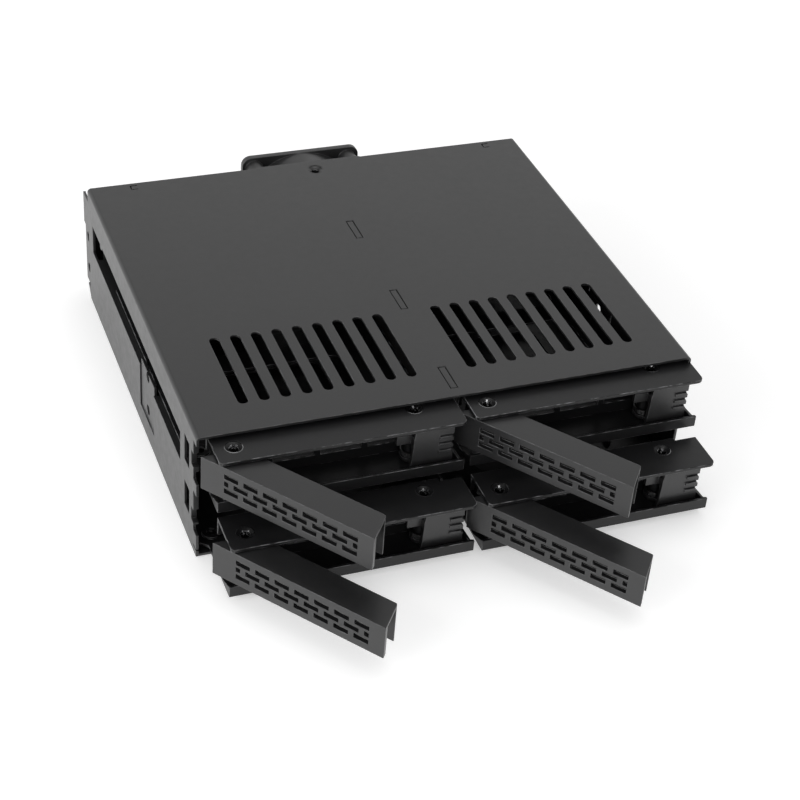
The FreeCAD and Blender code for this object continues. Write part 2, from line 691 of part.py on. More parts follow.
def rear_panel():
    """Rear sheet with a flange at the top and the bottom."""
    panel = box(-INNER_HALF, INNER_HALF, PANEL_FRONT, CAGE_DEPTH, SHELL_SHEET, LID_UNDER)
    front = PANEL_FRONT - REAR_FLANGE + INNER_SHEET
    top = box(-INNER_HALF + 4, INNER_HALF - 4, front, CAGE_DEPTH, LID_UNDER - INNER_SHEET, LID_UNDER)
    low = box(-INNER_HALF + 4, INNER_HALF - 4, front, CAGE_DEPTH, SHELL_SHEET, SHELL_SHEET + INNER_SHEET)
    panel = panel.fuse([top, low])
    cuts = [rod_y(0, FAN_MIDDLE, PANEL_FRONT - 1, CAGE_DEPTH + 1, FAN_BORE_R - 0.4)]
    for x, z in fan_places():
        cuts.append(rod_y(x, z, PANEL_FRONT - 1, CAGE_DEPTH + 1, SCREW_R + SEAT_GAP))
    for x, z in standoff_places():
        cuts.append(rod_y(x, z, PANEL_FRONT - 1, CAGE_DEPTH + 1, SCREW_R + SEAT_GAP))
    for x, z, w, h in port_places() + inlet_places():
        dx = w / 2 + CUTOUT_GAP
        dz = h / 2 + CUTOUT_GAP
        cuts.append(box(x - dx, x + dx, PANEL_FRONT - 1, CAGE_DEPTH + 1, z - dz, z + dz))
    cuts.append(rod(LID_SCREW_X, CAGE_DEPTH - LID_SCREW_INSET, LID_UNDER - 2, LID_UNDER + 1, SCREW_R + SEAT_GAP))
    for side in (-1, 1):
        y = CAGE_DEPTH - BOTTOM_SCREW_INSET
        cuts.append(rod(side * BOTTOM_SCREW_X, y, 0, SHELL_SHEET + 2, SCREW_R + SEAT_GAP))
    return panel.cut(cuts).removeSplitter()


def case_screws():
    """The screws that join the shell and the bottom plate to the rear panel."""
    body = [screw(LID_SCREW_X, CAGE_DEPTH - LID_SCREW_INSET, CAGE_HEIGHT, SCREW_LENGTH - 2)]
    for side in (-1, 1):
        y = CAGE_DEPTH - BOTTOM_SCREW_INSET
        body.append(screw(side * BOTTOM_SCREW_X, y, 0, SCREW_LENGTH - 2, False))
    return body


def backplane_board():
    low = SHELL_SHEET + INNER_SHEET + LID_GAP
    high = LID_UNDER - INNER_SHEET - LID_GAP
    half = INNER_HALF - BOARD_EDGE
    board = box(-half, half, BOARD_FRONT, BOARD_BACK, low, high)
    cuts = [soft_box_y(-AIR_HALF_X, AIR_HALF_X, BOARD_FRONT - 1, BOARD_BACK + 1,
                       FAN_MIDDLE - AIR_HALF_Z, FAN_MIDDLE + AIR_HALF_Z, 2.0)]
    for x, z in standoff_places():
        cuts.append(rod_y(x, z, BOARD_FRONT - 1, BOARD_BACK + 1, SCREW_R + SEAT_GAP))
    return board.cut(cuts)


def drive_connector(left, top):
    """Plug of the backplane for one drive: two keyed pockets in one block."""
    middle = left + DRIVE_MIDDLE
    low = top + PAN_TOP + DRIVE_PAD + CONNECTOR_RISE
    high = low + CONNECTOR_HEIGHT
    half = CONNECTOR_WIDTH / 2
    front = BOARD_FRONT - CONNECTOR_LENGTH
    block = box(middle - half, middle + half, front, BOARD_FRONT, low, high)
    wall = SOCKET_WALL
    floor = BOARD_FRONT - CONNECTOR_FLOOR
    signal_left = middle - half + wall
    signal_right = signal_left + CONNECTOR_SIGNAL
    power_left = signal_right + CONNECTOR_KEY
    power_right = middle + half - wall
    rail_low = (low + high - BLADE_RAIL) / 2
    rails = []
    for left_end, right_end in ((signal_left, signal_right), (power_left, power_right)):
        block = block.cut(box(left_end, right_end, front - 1, floor, low + wall, high - wall))
        rails.append(box(left_end + BLADE_INSET, right_end - BLADE_INSET, front + BLADE_TUCK, floor + 1,
                         rail_low, rail_low + BLADE_RAIL))
    return block.fuse(rails).removeSplitter()


def socket(x, z, w, h):
    """A port on the rear of the backplane: a shroud around a flat tongue."""
    rear = BOARD_BACK + PORT_LENGTH
    body = soft_box_y(x - w / 2, x + w / 2, BOARD_BACK, rear, z - h / 2, z + h / 2, 0.6)
    dx = w / 2 - SOCKET_WALL
    dz = h / 2 - SOCKET_WALL
    body = body.cut(box(x - dx, x + dx, BOARD_BACK + 1.6, rear + 1, z - dz, z + dz))
    tongue = box(x - dx + 1.2, x + dx - 1.2, BOARD_BACK + 1, rear - 1.0, z - 0.6, z + 0.6)
    key = box(x + dx - 1.6, x + dx - 1.2, BOARD_BACK + 1, rear - 1.0, z - 1.4, z - 0.4)
    return body.fuse([tongue, key]).removeSplitter()


def standoffs():
    body = []
    for x, z in standoff_places():
        post = rod_y(x, z, BOARD_BACK, PANEL_FRONT, STANDOFF_R)
        body.append(post.cut(rod_y(x, z, BOARD_BACK - 1, PANEL_FRONT + 1, SCREW_R + SEAT_GAP)))
    return body


def pan_head_y(x, z, y, length, way):
    """A pan-head screw along Y. Its head stands on the face at y."""
    rim = FAN_SCREW_HEAD / 2
    head = Part.makeCylinder(FAN_SCREW_HEAD_R, rim, V(x, y, z), V(0, way, 0))
    crown = Part.makeCone(FAN_SCREW_HEAD_R, FAN_SCREW_HEAD_R - rim, rim, V(x, y + way * rim, z), V(0, way, 0))
    head = head.fuse(crown)
    shank = Part.makeCylinder(SCREW_R, length, V(x, y, z), V(0, -way, 0))
    y0, y1 = sorted((y + way * (FAN_SCREW_HEAD - CROSS_DEPTH), y + way * (FAN_SCREW_HEAD + 1)))
    half = CROSS_LENGTH / 2
    thin = CROSS_WIDTH / 2
    cross = box(x - half, x + half, y0, y1, z - thin, z + thin)
    cross = cross.fuse(box(x - thin, x + thin, y0, y1, z - half, z + half))
    return head.fuse(shank).removeSplitter().cut(cross)


def backplane_screws():
    length = BOARD_SHEET + BOARD_SCREW_BITE
    return [pan_head_y(x, z, BOARD_FRONT, length, -1) for x, z in standoff_places()]


def fan_screws():
    y = CAGE_DEPTH + FAN_DEPTH
    return [pan_head_y(x, z, y, FAN_DEPTH + INNER_SHEET, 1) for x, z in fan_places()]


def fan_frame():
    """Two square flanges around a round barrel, corner posts and a motor seat."""
    y0 = CAGE_DEPTH
    y1 = CAGE_DEPTH + FAN_DEPTH
    half = FAN_SIZE / 2
    z0 = FAN_MIDDLE - half
    z1 = FAN_MIDDLE + half
    frame = soft_box_y(-half, half, y0, y0 + FAN_FLANGE, z0, z1, FAN_CORNER)
    frame = frame.fuse(soft_box_y(-half, half, y1 - FAN_FLANGE, y1, z0, z1, FAN_CORNER))
    frame = frame.fuse(rod_y(0, FAN_MIDDLE, y0, y1, FAN_BARREL_R))
    for x, z in fan_places():
        frame = frame.fuse(rod_y(x, z, y0, y1, FAN_POST_R))
    frame = frame.cut(rod_y(0, FAN_MIDDLE, y0 - 1, y1 + 1, FAN_BORE_R))
    for x, z in fan_places():
        frame = frame.cut(rod_y(x, z, y0 - 1, y1 + 1, FAN_HOLE_R))
    seat = y1 - MOTOR_BASE
    frame = frame.fuse(rod_y(0, FAN_MIDDLE, seat, y1, MOTOR_BASE_R))
    for i in range(ARM_COUNT):
        arm = box(0, FAN_BORE_R + 0.4, seat, y1, FAN_MIDDLE - ARM_WIDTH / 2, FAN_MIDDLE + ARM_WIDTH / 2)
        arm.rotate(V(0, 0, FAN_MIDDLE), V(0, 1, 0), 45 + i * 360 / ARM_COUNT)
        frame = frame.fuse(arm)
    tube_front = y0 + ROTOR_START + ROTOR_CUP + 0.8
    frame = frame.fuse(rod_y(0, FAN_MIDDLE, tube_front, y1, BEARING_R))
    frame = frame.cut(rod_y(0, FAN_MIDDLE, tube_front - 1, y1 - 0.6, SHAFT_R + RUN_GAP))
    return frame.removeSplitter()


def fan_stator():
    """Motor winding on the bearing tube, inside the rotor's cup."""
    y1 = CAGE_DEPTH + FAN_DEPTH - MOTOR_BASE
    y0 = CAGE_DEPTH + ROTOR_START + ROTOR_CUP + 1.2
    ring = rod_y(0, FAN_MIDDLE, y0, y1, STATOR_R)
    return ring.cut(rod_y(0, FAN_MIDDLE, y0 - 1, y1 + 1, BEARING_R + SEAT_GAP))


def blade_section(radius, chord, pitch, camber, rear):
    """A bent blade section, square to the radius that it stands on."""
    turn = math.radians(pitch)
    ahead = V(math.cos(turn), math.sin(turn), 0)
    side = V(-math.sin(turn), math.cos(turn), 0)
    middle = V(0, rear - ROTOR_LENGTH / 2, 0)
    half = BLADE_THICK / 2
    points = []
    below = ((-0.5, -half), (0.0, camber - half), (0.5, -half))
    above = ((0.5, half), (0.0, camber + half), (-0.5, half))
    for along, lift in below + above:
        points.append(middle + ahead * (along * chord) + side * lift)
    points = [V(p.x, p.y, FAN_MIDDLE + radius) for p in points]
    under = Part.Arc(points[0], points[1], points[2]).toShape()
    over = Part.Arc(points[3], points[4], points[5]).toShape()
    lead = Part.LineSegment(points[2], points[3]).toShape()
    trail = Part.LineSegment(points[5], points[0]).toShape()
    return Part.Wire([under, lead, over, trail])


def fan_rotor():
    """Cup with its shaft and a ring of twisted blades."""
    y0 = CAGE_DEPTH + ROTOR_START
    y1 = y0 + ROTOR_LENGTH
    cup = rod_y(0, FAN_MIDDLE, y0, y1, ROTOR_HUB_R)
    cup = cup.makeFillet(0.8, [e for e in cup.Edges if abs(e.CenterOfMass.y - y0) < 1e-6])
    cup = cup.cut(rod_y(0, FAN_MIDDLE, y0 + ROTOR_CUP, y1 + 1, ROTOR_HUB_R - ROTOR_CUP))
    shaft = rod_y(0, FAN_MIDDLE, y0 + ROTOR_CUP / 2, CAGE_DEPTH + FAN_DEPTH - 1.0, SHAFT_R)
    rotor = cup.fuse(shaft)
    root = blade_section(ROTOR_HUB_R - ROTOR_CUP / 2, *BLADE_ROOT, y1)
    tip = blade_section(ROTOR_TIP_R, *BLADE_TIP, y1)
    blade = Part.makeLoft([root, tip], True, True)
    inner = rod_y(0, FAN_MIDDLE, y0 - 1, y1 + 1, ROTOR_HUB_R - ROTOR_CUP / 2)
    outer = rod_y(0, FAN_MIDDLE, y0 + 0.2, y1 - 0.2, ROTOR_TIP_R)
    blade = blade.common(outer).cut(inner)
    for i in range(BLADE_COUNT):
        copy = blade.copy()
        copy.rotate(V(0, 0, FAN_MIDDLE), V(0, 1, 0), i * 360 / BLADE_COUNT)
        rotor = rotor.fuse(copy)
    return rotor.removeSplitter()


def tray_pan():
    """Floor sheet of a tray with its front lip and the seats of the drive."""
    front = LIP_SETBACK
    w = TRAY_WIDTH
    wide = -PAN_SIDE
    outline = [
        (0, front), (w, front), (w, TRAY_LENGTH - PAN_TAPER), (w - PAN_TAPER, TRAY_LENGTH),
        (wide + PAN_TAPER, TRAY_LENGTH), (wide, TRAY_LENGTH - PAN_TAPER), (wide, PAN_STEP), (0, PAN_STEP - PAN_SIDE),
    ]
    pan = prism(outline, PAN_UNDER, PAN_TOP)
    t = INNER_SHEET
    lip_top = PAN_UNDER + LIP_HEIGHT
    lip = box(0, PLATE_WIDTH + LIP_PROUD, front, front + t, PAN_UNDER, lip_top)
    gusset = front + LIP_RETURN
    side = prism_x([(front, PAN_UNDER), (front, lip_top), (gusset, PAN_TOP), (gusset, PAN_UNDER)], 0, t)
    stop = front + RETURN_LENGTH
    tongue = box(w - 1, PLATE_WIDTH, front, stop, PAN_UNDER, PAN_TOP)
    flange = prism_x([(front, PAN_UNDER), (front, lip_top), (stop, lip_top - RETURN_DROP), (stop, PAN_UNDER)],
                     PLATE_WIDTH - t, PLATE_WIDTH)
    pan = pan.fuse([lip, side, tongue, flange])
    seats = drive_screw_places()
    for x, y in seats:
        pan = pan.fuse(rod(x, y, PAN_TOP, PAN_TOP + DRIVE_PAD, SCREW_HEAD_R))
    cuts = []
    for x, y in seats:
        cuts.append(screw_hole(x, y, PAN_UNDER, INNER_SHEET + DRIVE_PAD, False))
    for x, y in ((PIVOT_X, PIVOT_Y), (LATCH_PIN_X, LATCH_PIN_Y)):
        cuts.append(screw_hole(x, y, PAN_UNDER, INNER_SHEET, False))
    for ahead in PAN_OPENINGS:
        y = DRIVE_START + ahead
        cuts.append(soft_box(PAN_RIM, w - PAN_RIM, y, y + PAN_OPENING, PAN_UNDER - 1, PAN_TOP + 1, PAN_TAPER))
    return pan.cut(cuts).removeSplitter()


def drive_screw_places():
    places = []
    for x in (DRIVE_MIDDLE - DRIVE_SCREW_SPAN / 2, DRIVE_MIDDLE + DRIVE_SCREW_SPAN / 2):
        for y in (DRIVE_END - DRIVE_SCREW_FRONT, DRIVE_END - DRIVE_SCREW_REAR):
            places.append((x, y))
    return places


def tray_bracket():
    """Top plate with its right wing, and the windowed web folded down behind it."""
    w = PLATE_WIDTH
    neck = w - WING_WIDTH
    outline = [
        (0.8, 0), (w, 0), (w, WING_DEPTH), (neck, WING_DEPTH), (neck, PLATE_DEPTH), (0, PLATE_DEPTH), (0, 0.8),
    ]
    plate = prism(outline, PLATE_UNDER, 0)
    corner = [e for e in upright_edges(plate) if e.CenterOfMass.x > w - 1 and e.CenterOfMass.y < 1]
    plate = plate.makeFillet(PLATE_CORNER, corner)
    web = box(0, neck, WEB_FRONT, PLATE_DEPTH, PAN_TOP, 0)
    plate = plate.fuse(web)
    cuts = [
        screw_hole(PIVOT_X, PIVOT_Y, 0, PLATE_SHEET),
        screw_hole(LATCH_PIN_X, LATCH_PIN_Y, 0, PLATE_SHEET),
    ]
    low = PAN_TOP + WEB_SILL
    high = PLATE_UNDER - WEB_HEAD
    first = WEB_EDGE
    stop = WEB_EDGE + WEB_FIRST
    nose_low = NOSE_Z[0] - NOSE_ROOM
    nose_high = NOSE_Z[1] + NOSE_ROOM
    cuts.append(box(-1, first + 1, WEB_FRONT - 1, PLATE_DEPTH + 1, nose_low, nose_high))
    while stop < neck - 2:
        cuts.append(box(first, stop, WEB_FRONT - 1, PLATE_DEPTH + 1, low, high))
        first = stop + WEB_BAR
        stop = first + WEB_PITCH - WEB_BAR
    return plate.cut(cuts).removeSplitter()


def pillar(x, y, r, foot=0.0):
    """Post between the pan and the top plate, tapped at both ends."""
    post = rod(x, y, PAN_TOP, PLATE_UNDER, r)
    if foot:
        post = post.fuse(Part.makeCone(r + foot, r, foot, V(x, y, PAN_TOP))).removeSplitter()
    bore = SCREW_R + SEAT_GAP
    post = post.cut(rod(x, y, PLATE_UNDER - SCREW_LENGTH, PLATE_UNDER + 1, bore))
    return post.cut(rod(x, y, PAN_TOP - 1, PAN_TOP + SCREW_LENGTH - 1, bore))


def tray_screws():
    body = []
    for x, y in ((PIVOT_X, PIVOT_Y), (LATCH_PIN_X, LATCH_PIN_Y)):
        body.append(screw(x, y, 0, SCREW_LENGTH))
        body.append(screw(x, y, PAN_UNDER, SCREW_LENGTH - 1, False))
    return body


def coil(x, y, low, inner):
    """A short close coil of spring wire around a pillar."""
    middle = inner + COIL_GAP + WIRE_R
    rings = []
    for i in range(COIL_COUNT):
        z = low + WIRE_R + i * COIL_PITCH
        ring = []
        for k in range(6):
            turn = math.radians(60 * k)
            ring.append(V(x + middle + WIRE_R * math.cos(turn), y, z + WIRE_R * math.sin(turn)))
        section = Part.Face(Part.makePolygon(ring + ring[:1]))
        rings.append(section.revolve(V(x, y, 0), V(0, 0, 1), 360))
    height = low + 2 * WIRE_R + (COIL_COUNT - 1) * COIL_PITCH
    join = box(x + middle - WIRE_R / 2, x + middle + WIRE_R / 2, y - WIRE_R, y + WIRE_R, low + WIRE_R, height - WIRE_R)
    return rings[0].fuse(rings[1:] + [join])


def leg(x, y, z, length):
    """A straight end of spring wire, along X."""
    half = WIRE_R * 0.8
    return box(x, x + length, y - half, y + half, z - half, z + half)


def handle_spring():
    low = PAN_TOP + 1.3
    radius = PIVOT_R + COIL_GAP + WIRE_R
    body = coil(PIVOT_X, PIVOT_Y, low, PIVOT_R)
    tail = leg(PIVOT_X, PIVOT_Y + radius, low + WIRE_R, 9.0)
    return body.fuse(tail).removeSplitter()


def latch_spring():
    low = PAN_TOP + SLIDE_GAP + 0.1 + LATCH_SHEET
    radius = LATCH_PIN_R + COIL_GAP + WIRE_R
    body = coil(LATCH_PIN_X, LATCH_PIN_Y, low, LATCH_PIN_R)
    tail = leg(LATCH_PIN_X, LATCH_PIN_Y - radius, low + WIRE_R, 6.0)
    return body.fuse(tail).removeSplitter()


def bricks():
    """Slots of the handle's face: full rows, and a row of offset ones between them."""
    y0 = HANDLE_FACE - 1
    y1 = HANDLE_FACE + BRICK_DEPTH
    middle = HANDLE_TOP - HANDLE_HEIGHT / 2
    start = HANDLE_LEFT + BRICK_START
    end = start + (BRICK_COUNT - 1) * BRICK_PITCH + BRICK_LENGTH
    half = BRICK_HEIGHT / 2
    cuts = []
    for row in (-1, 1):
        z = middle + row * BRICK_ROW
        for i in range(BRICK_COUNT):
            x = start + i * BRICK_PITCH
            cuts.append(box(x, x + BRICK_LENGTH, y0, y1, z - half, z + half))
    for i in range(-1, BRICK_COUNT):
        x0 = max(start, start + (i + 0.5) * BRICK_PITCH)
        x1 = min(end, start + (i + 0.5) * BRICK_PITCH + BRICK_LENGTH)
        cuts.append(box(x0, x1, y0, y1, middle - half, middle + half))
    return cuts


def handle():
    """Channel-shaped lever: slotted face, top, back wall, hinge barrel and nose."""
    top = HANDLE_TOP
    under = HANDLE_UNDER
    left = HANDLE_LEFT
    right = HANDLE_RIGHT
    face = HANDLE_FACE
    back = HANDLE_BACK
    turn = math.radians(HANDLE_OPEN)
    heel = (left + HEEL_LENGTH * math.cos(turn), face + HEEL_LENGTH * math.sin(turn))
    outline = [
        (left, face), (right, face), (HANDLE_BACK_RIGHT, back), (HANDLE_BACK_START, back),
        (PIVOT_X + 1.5, PIVOT_Y + BARREL_R - 0.4), (PIVOT_X - BARREL_R + 0.4, PIVOT_Y), heel,
    ]
    body = prism(outline, top - HANDLE_WALL, top)
    lean = HANDLE_SKEW / HANDLE_DEPTH
    inside = face + HANDLE_FRONT_WALL
    wall_start = left + HANDLE_FRONT_WALL / math.tan(turn)
    wall_end = right - lean * HANDLE_FRONT_WALL
    wall = prism([(left, face), (right, face), (wall_end, inside), (wall_start, inside)], under, top)
    rear = prism([
        (HANDLE_BACK_START, back - HANDLE_WALL), (HANDLE_BACK_RIGHT + lean * HANDLE_WALL, back - HANDLE_WALL),
        (HANDLE_BACK_RIGHT, back), (HANDLE_BACK_START, back),
    ], under - HANDLE_BACK_DROP, top)
    body = body.fuse([wall, rear]).removeSplitter()
    ends = [e for e in upright_edges(body) if e.CenterOfMass.y > back - 0.1]
    corner = [e for e in ends if e.CenterOfMass.x > HANDLE_BACK_RIGHT - 0.1]
    body = body.makeFillet(HANDLE_CORNER, corner)
    stem = prism([
        (left, face), (left + STEM_LENGTH, face), (PIVOT_X + 2.4, PIVOT_Y - 2.4),
        (PIVOT_X - BARREL_R + 0.6, PIVOT_Y), heel,
    ], under, top)
    x0, x1 = (left + inset for inset in STEM_POCKET)
    stem = stem.cut(box(x0, x1, inside, face + STEM_POCKET_DEPTH, under - 1, top - HANDLE_WALL))
    barrel = rod(PIVOT_X, PIVOT_Y, under, top, BARREL_R)
    nose = prism([
        (PIVOT_X - BARREL_R + 0.2, 7.4), (-1.2, NOSE_Y[0]), (-NOSE_REACH, NOSE_Y[0]),
        (-NOSE_REACH, NOSE_Y[1]), (-0.4, NOSE_Y[1]), (PIVOT_X, PIVOT_Y + BARREL_R),
    ], NOSE_Z[0], NOSE_Z[1])
    body = body.fuse([stem, barrel, nose])
    body = body.cut(bricks() + [rod(PIVOT_X, PIVOT_Y, under - 1, top + 1, PIVOT_R + RUN_GAP)])
    body = body.removeSplitter()
    body.rotate(V(PIVOT_X, PIVOT_Y, 0), V(0, 0, 1), -HANDLE_OPEN)
    return body


def latch():
    """Rocking button: a ridged face on two ears that turn on the right pillar."""
    low = PAN_TOP + SLIDE_GAP + 0.1
    high = PLATE_UNDER - SLIDE_GAP
    face = LATCH_FACE
    back = LATCH_FACE + LATCH_SHEET
    body = prism_y([
        (LATCH_LEFT - LATCH_LEAN, low), (LATCH_RIGHT, low), (LATCH_RIGHT, high), (LATCH_LEFT + LATCH_LEAN, high),
    ], face, back)
    side = box(LATCH_RIGHT - LATCH_SHEET, LATCH_RIGHT, face, face + LATCH_SIDE_DEPTH, low, high)
    body = body.fuse(side)
    for z0, z1 in ((low, low + LATCH_SHEET), (high - LATCH_SHEET, high)):
        ear = prism([
            (LATCH_LEFT + LATCH_LEAN, face), (LATCH_RIGHT, face), (LATCH_RIGHT, face + LATCH_SIDE_DEPTH),
            (LATCH_PIN_X + 1.2, LATCH_PIN_Y + LATCH_EAR_R - 0.3),
            (LATCH_PIN_X - LATCH_EAR_R + 0.3, LATCH_PIN_Y), (LATCH_LEFT + LATCH_LEAN, HANDLE_BACK),
        ], z0, z1)
        body = body.fuse([ear, rod(LATCH_PIN_X, LATCH_PIN_Y, z0, z1, LATCH_EAR_R)])
    hook_back = HANDLE_BACK - HANDLE_WALL - SLIDE_GAP
    hook_left = HANDLE_BACK_RIGHT - LATCH_HOOK_GRIP
    arm_right = LATCH_LEFT + LATCH_SHEET
    hook = box(hook_left, arm_right, hook_back - LATCH_HOOK_THICK, hook_back, HOOK_Z[0], HOOK_Z[1])
    arm = box(LATCH_LEFT, arm_right, face, hook_back, HOOK_Z[0], HOOK_Z[1])
    body = body.fuse([hook, arm])
    ridge_right = LATCH_RIGHT - NOTCH_WIDTH
    for i in range(RIDGE_COUNT):
        z = RIDGE_FIRST - i * RIDGE_PITCH
        half = RIDGE_HEIGHT / 2
        ridge = box(ridge_right - RIDGE_LENGTH, ridge_right, face - RIDGE_PROUD, face + 0.2, z - half, z + half)
        notch = box(ridge_right, LATCH_RIGHT + 1, face - 1, face + 2.2, z - half - 0.1, z + half + 0.1)
        body = body.fuse(ridge).cut(notch)
    bore = LATCH_PIN_R + RUN_GAP
    return body.cut(rod(LATCH_PIN_X, LATCH_PIN_Y, low - 1, high + 1, bore)).removeSplitter()


def save(name, shapes, shift=V(0, 0, 0)):
    """Moves a piece into the frame of the whole and writes it."""
    if not isinstance(shapes, list):
        shapes = [shapes]
    solids = []
    for shape in shapes:
        copy = shape.copy()
        copy.translate(shift + V(0, -CAGE_DEPTH / 2, 0))
        solids.extend(copy.Solids)
    whole = solids[0] if len(solids) == 1 else Part.makeCompound(solids)
    bad = [i for i, solid in enumerate(solids) if not solid.isValid()]
    volume = sum(solid.Volume for solid in solids)
    print("%-26s solids %d volume %.1f%s" % (name, len(solids), volume, " INVALID" if bad else ""))
    whole.exportStep("parts/" + name + ".step")


save("housing_shell", housing_shell())
save("bottom_plate", bottom_plate())
save("centre_divider", centre_divider())
save("rear_panel", rear_panel())
save("case_screws", case_screws())
save("backplane_board", backplane_board())
save("drive_connectors", [drive_connector(left, top) for name, left, out, top in TRAYS])
save("data_ports", [socket(*place) for place in port_places()])
save("power_inlets", [socket(*place) for place in inlet_places()])
save("backplane_standoffs", standoffs())
save("backplane_screws", backplane_screws())
save("fan_frame", fan_frame())
save("fan_stator", fan_stator())
save("fan_rotor", fan_rotor())
save("fan_screws", fan_screws())

PIECES = {
    "tray_pan": tray_pan(),
    "tray_bracket": tray_bracket(),
    "tray_screws": tray_screws(),
    "handle_pin": pillar(PIVOT_X, PIVOT_Y, PIVOT_R, 0.9),
    "handle": handle(),
    "handle_spring": handle_spring(),
    "latch_pin": pillar(LATCH_PIN_X, LATCH_PIN_Y, LATCH_PIN_R),
    "latch": latch(),
    "latch_spring": latch_spring(),
}
for name, left, out, top in TRAYS:
    for piece, shape in PIECES.items():
        save(piece + "_" + name, shape, V(left, -out, top))
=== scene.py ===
# %% [markdown]
# # A hot swap drive cage in black sheet metal
#
# The real cage is folded from thin steel and covered with black powder paint.
# Four drive trays slide in it, each with a slotted lever and a latch button.
# The measured solids arrive as a fixed frame in metres. This lesson dresses
# them: it softens the cut edges, models the screws and springs more finely,
# and gives every piece a painted, plated or moulded finish.

# %% The measured frame
import json
import math

import bmesh
import bpy
from mathutils import Matrix, Vector

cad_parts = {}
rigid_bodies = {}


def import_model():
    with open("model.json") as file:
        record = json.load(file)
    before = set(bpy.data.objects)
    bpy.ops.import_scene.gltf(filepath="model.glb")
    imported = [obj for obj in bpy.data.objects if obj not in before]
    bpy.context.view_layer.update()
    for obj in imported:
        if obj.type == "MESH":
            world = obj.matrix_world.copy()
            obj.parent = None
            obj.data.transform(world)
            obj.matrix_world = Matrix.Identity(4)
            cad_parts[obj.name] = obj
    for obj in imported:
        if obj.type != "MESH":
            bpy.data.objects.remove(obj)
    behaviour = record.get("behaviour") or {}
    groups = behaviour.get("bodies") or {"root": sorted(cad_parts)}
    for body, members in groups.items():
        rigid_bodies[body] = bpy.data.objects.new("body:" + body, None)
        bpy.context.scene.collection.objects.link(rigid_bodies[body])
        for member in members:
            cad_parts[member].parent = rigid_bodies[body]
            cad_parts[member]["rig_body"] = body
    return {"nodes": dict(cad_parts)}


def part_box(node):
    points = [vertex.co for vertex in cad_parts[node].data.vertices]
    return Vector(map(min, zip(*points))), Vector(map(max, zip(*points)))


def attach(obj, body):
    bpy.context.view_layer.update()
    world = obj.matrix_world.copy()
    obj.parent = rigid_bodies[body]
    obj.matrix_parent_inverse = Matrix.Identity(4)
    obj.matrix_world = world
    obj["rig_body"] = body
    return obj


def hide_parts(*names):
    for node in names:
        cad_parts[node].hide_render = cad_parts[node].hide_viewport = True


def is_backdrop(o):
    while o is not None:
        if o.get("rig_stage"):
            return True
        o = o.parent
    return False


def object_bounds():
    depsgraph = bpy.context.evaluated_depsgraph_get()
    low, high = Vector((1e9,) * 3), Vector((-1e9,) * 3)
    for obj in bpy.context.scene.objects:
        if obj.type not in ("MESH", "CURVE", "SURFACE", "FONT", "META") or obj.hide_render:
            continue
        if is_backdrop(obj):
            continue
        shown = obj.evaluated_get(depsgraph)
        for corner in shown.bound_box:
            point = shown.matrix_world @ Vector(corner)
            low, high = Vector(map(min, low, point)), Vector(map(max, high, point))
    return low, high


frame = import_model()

first_low, first_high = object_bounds()
nodes = frame["nodes"]
MM = 0.001
TRAYS = ("upper_left", "upper_right", "lower_left", "lower_right")

# %% [markdown]
# ## The camera
#
# The picture was taken with a fairly long lens, from the front left and above,
# and a little tilted. A camera can be placed by eye, but here its direction,
# tilt, distance and lens were fitted to the standard sizes of the cage. Three
# unit vectors, to the right, up and back, then make its rotation.

# %% Camera
AZIMUTH = math.radians(-22.947)
ELEVATION = math.radians(36.659)
TILT = math.radians(4.891)
DISTANCE = 539.812 * MM
TARGET = Vector((-4.191, -37.303, 20.0)) * MM
SENSOR_MM = 36.0
FOCAL_PIXELS = 1852.093
FRAME_PIXELS = 800

back = Vector((
    math.sin(AZIMUTH) * math.cos(ELEVATION),
    -math.cos(AZIMUTH) * math.cos(ELEVATION),
    math.sin(ELEVATION),
))
level = Vector((math.cos(AZIMUTH), math.sin(AZIMUTH), 0))
upward = back.cross(level)
right = level * math.cos(TILT) + upward * math.sin(TILT)
upright = upward * math.cos(TILT) - level * math.sin(TILT)
turned = Matrix((right, upright, back)).transposed().to_4x4()

scene = bpy.context.scene
camera = bpy.data.objects.new("camera", bpy.data.cameras.new("camera"))
scene.collection.objects.link(camera)
camera.matrix_world = Matrix.Translation(TARGET + back * DISTANCE) @ turned
camera.data.sensor_width = SENSOR_MM
camera.data.lens = SENSOR_MM * FOCAL_PIXELS / FRAME_PIXELS
camera.data.clip_start = 0.01
camera.data.clip_end = 20.0
scene.camera = camera
print("camera at", [round(v, 3) for v in camera.matrix_world.translation])

# %% [markdown]
# ## Nodes in few words
#
# The light, the floor and every finish are small graphs of shader nodes. These
# helpers add a node and feed each of its inputs with a plain value or with
# another node's output, so a graph reads like a formula.


# %% Helpers for shader nodes
def feed(tree, made, inputs):
    """Feeds a node's inputs, by name or number, with sockets or plain values."""
    for key, value in inputs.items():
        if isinstance(value, bpy.types.NodeSocket):
            tree.links.new(value, made.inputs[key])
        else:
            made.inputs[key].default_value = value


def add_node(tree, kind, inputs=None):
    """Adds a shader node with its inputs fed."""
    made = tree.nodes.new("ShaderNode" + kind)
    feed(tree, made, inputs or {})
    return made


def combined(tree, operation, first, second):
    """Combines two values by one operation of the Math node."""
    made = add_node(tree, "Math")
    made.operation = operation
    feed(tree, made, {0: first, 1: second})
    return made.outputs[0]


def mapped(tree, value, old, new):
    """Maps a value from an old range to a new one, and holds it at the ends."""
    made = add_node(tree, "MapRange", {
        "Value": value,
        "From Min": old[0],
        "From Max": old[1],
        "To Min": new[0],
        "To Max": new[1],
    })
    return made.outputs["Result"]


def mixed(tree, factor, first, second):
    """Mixes two colours by a factor."""
    made = add_node(tree, "Mix")
    made.data_type = "RGBA"
    feed(tree, made, {0: factor, 6: first, 7: second})
    return made.outputs[2]


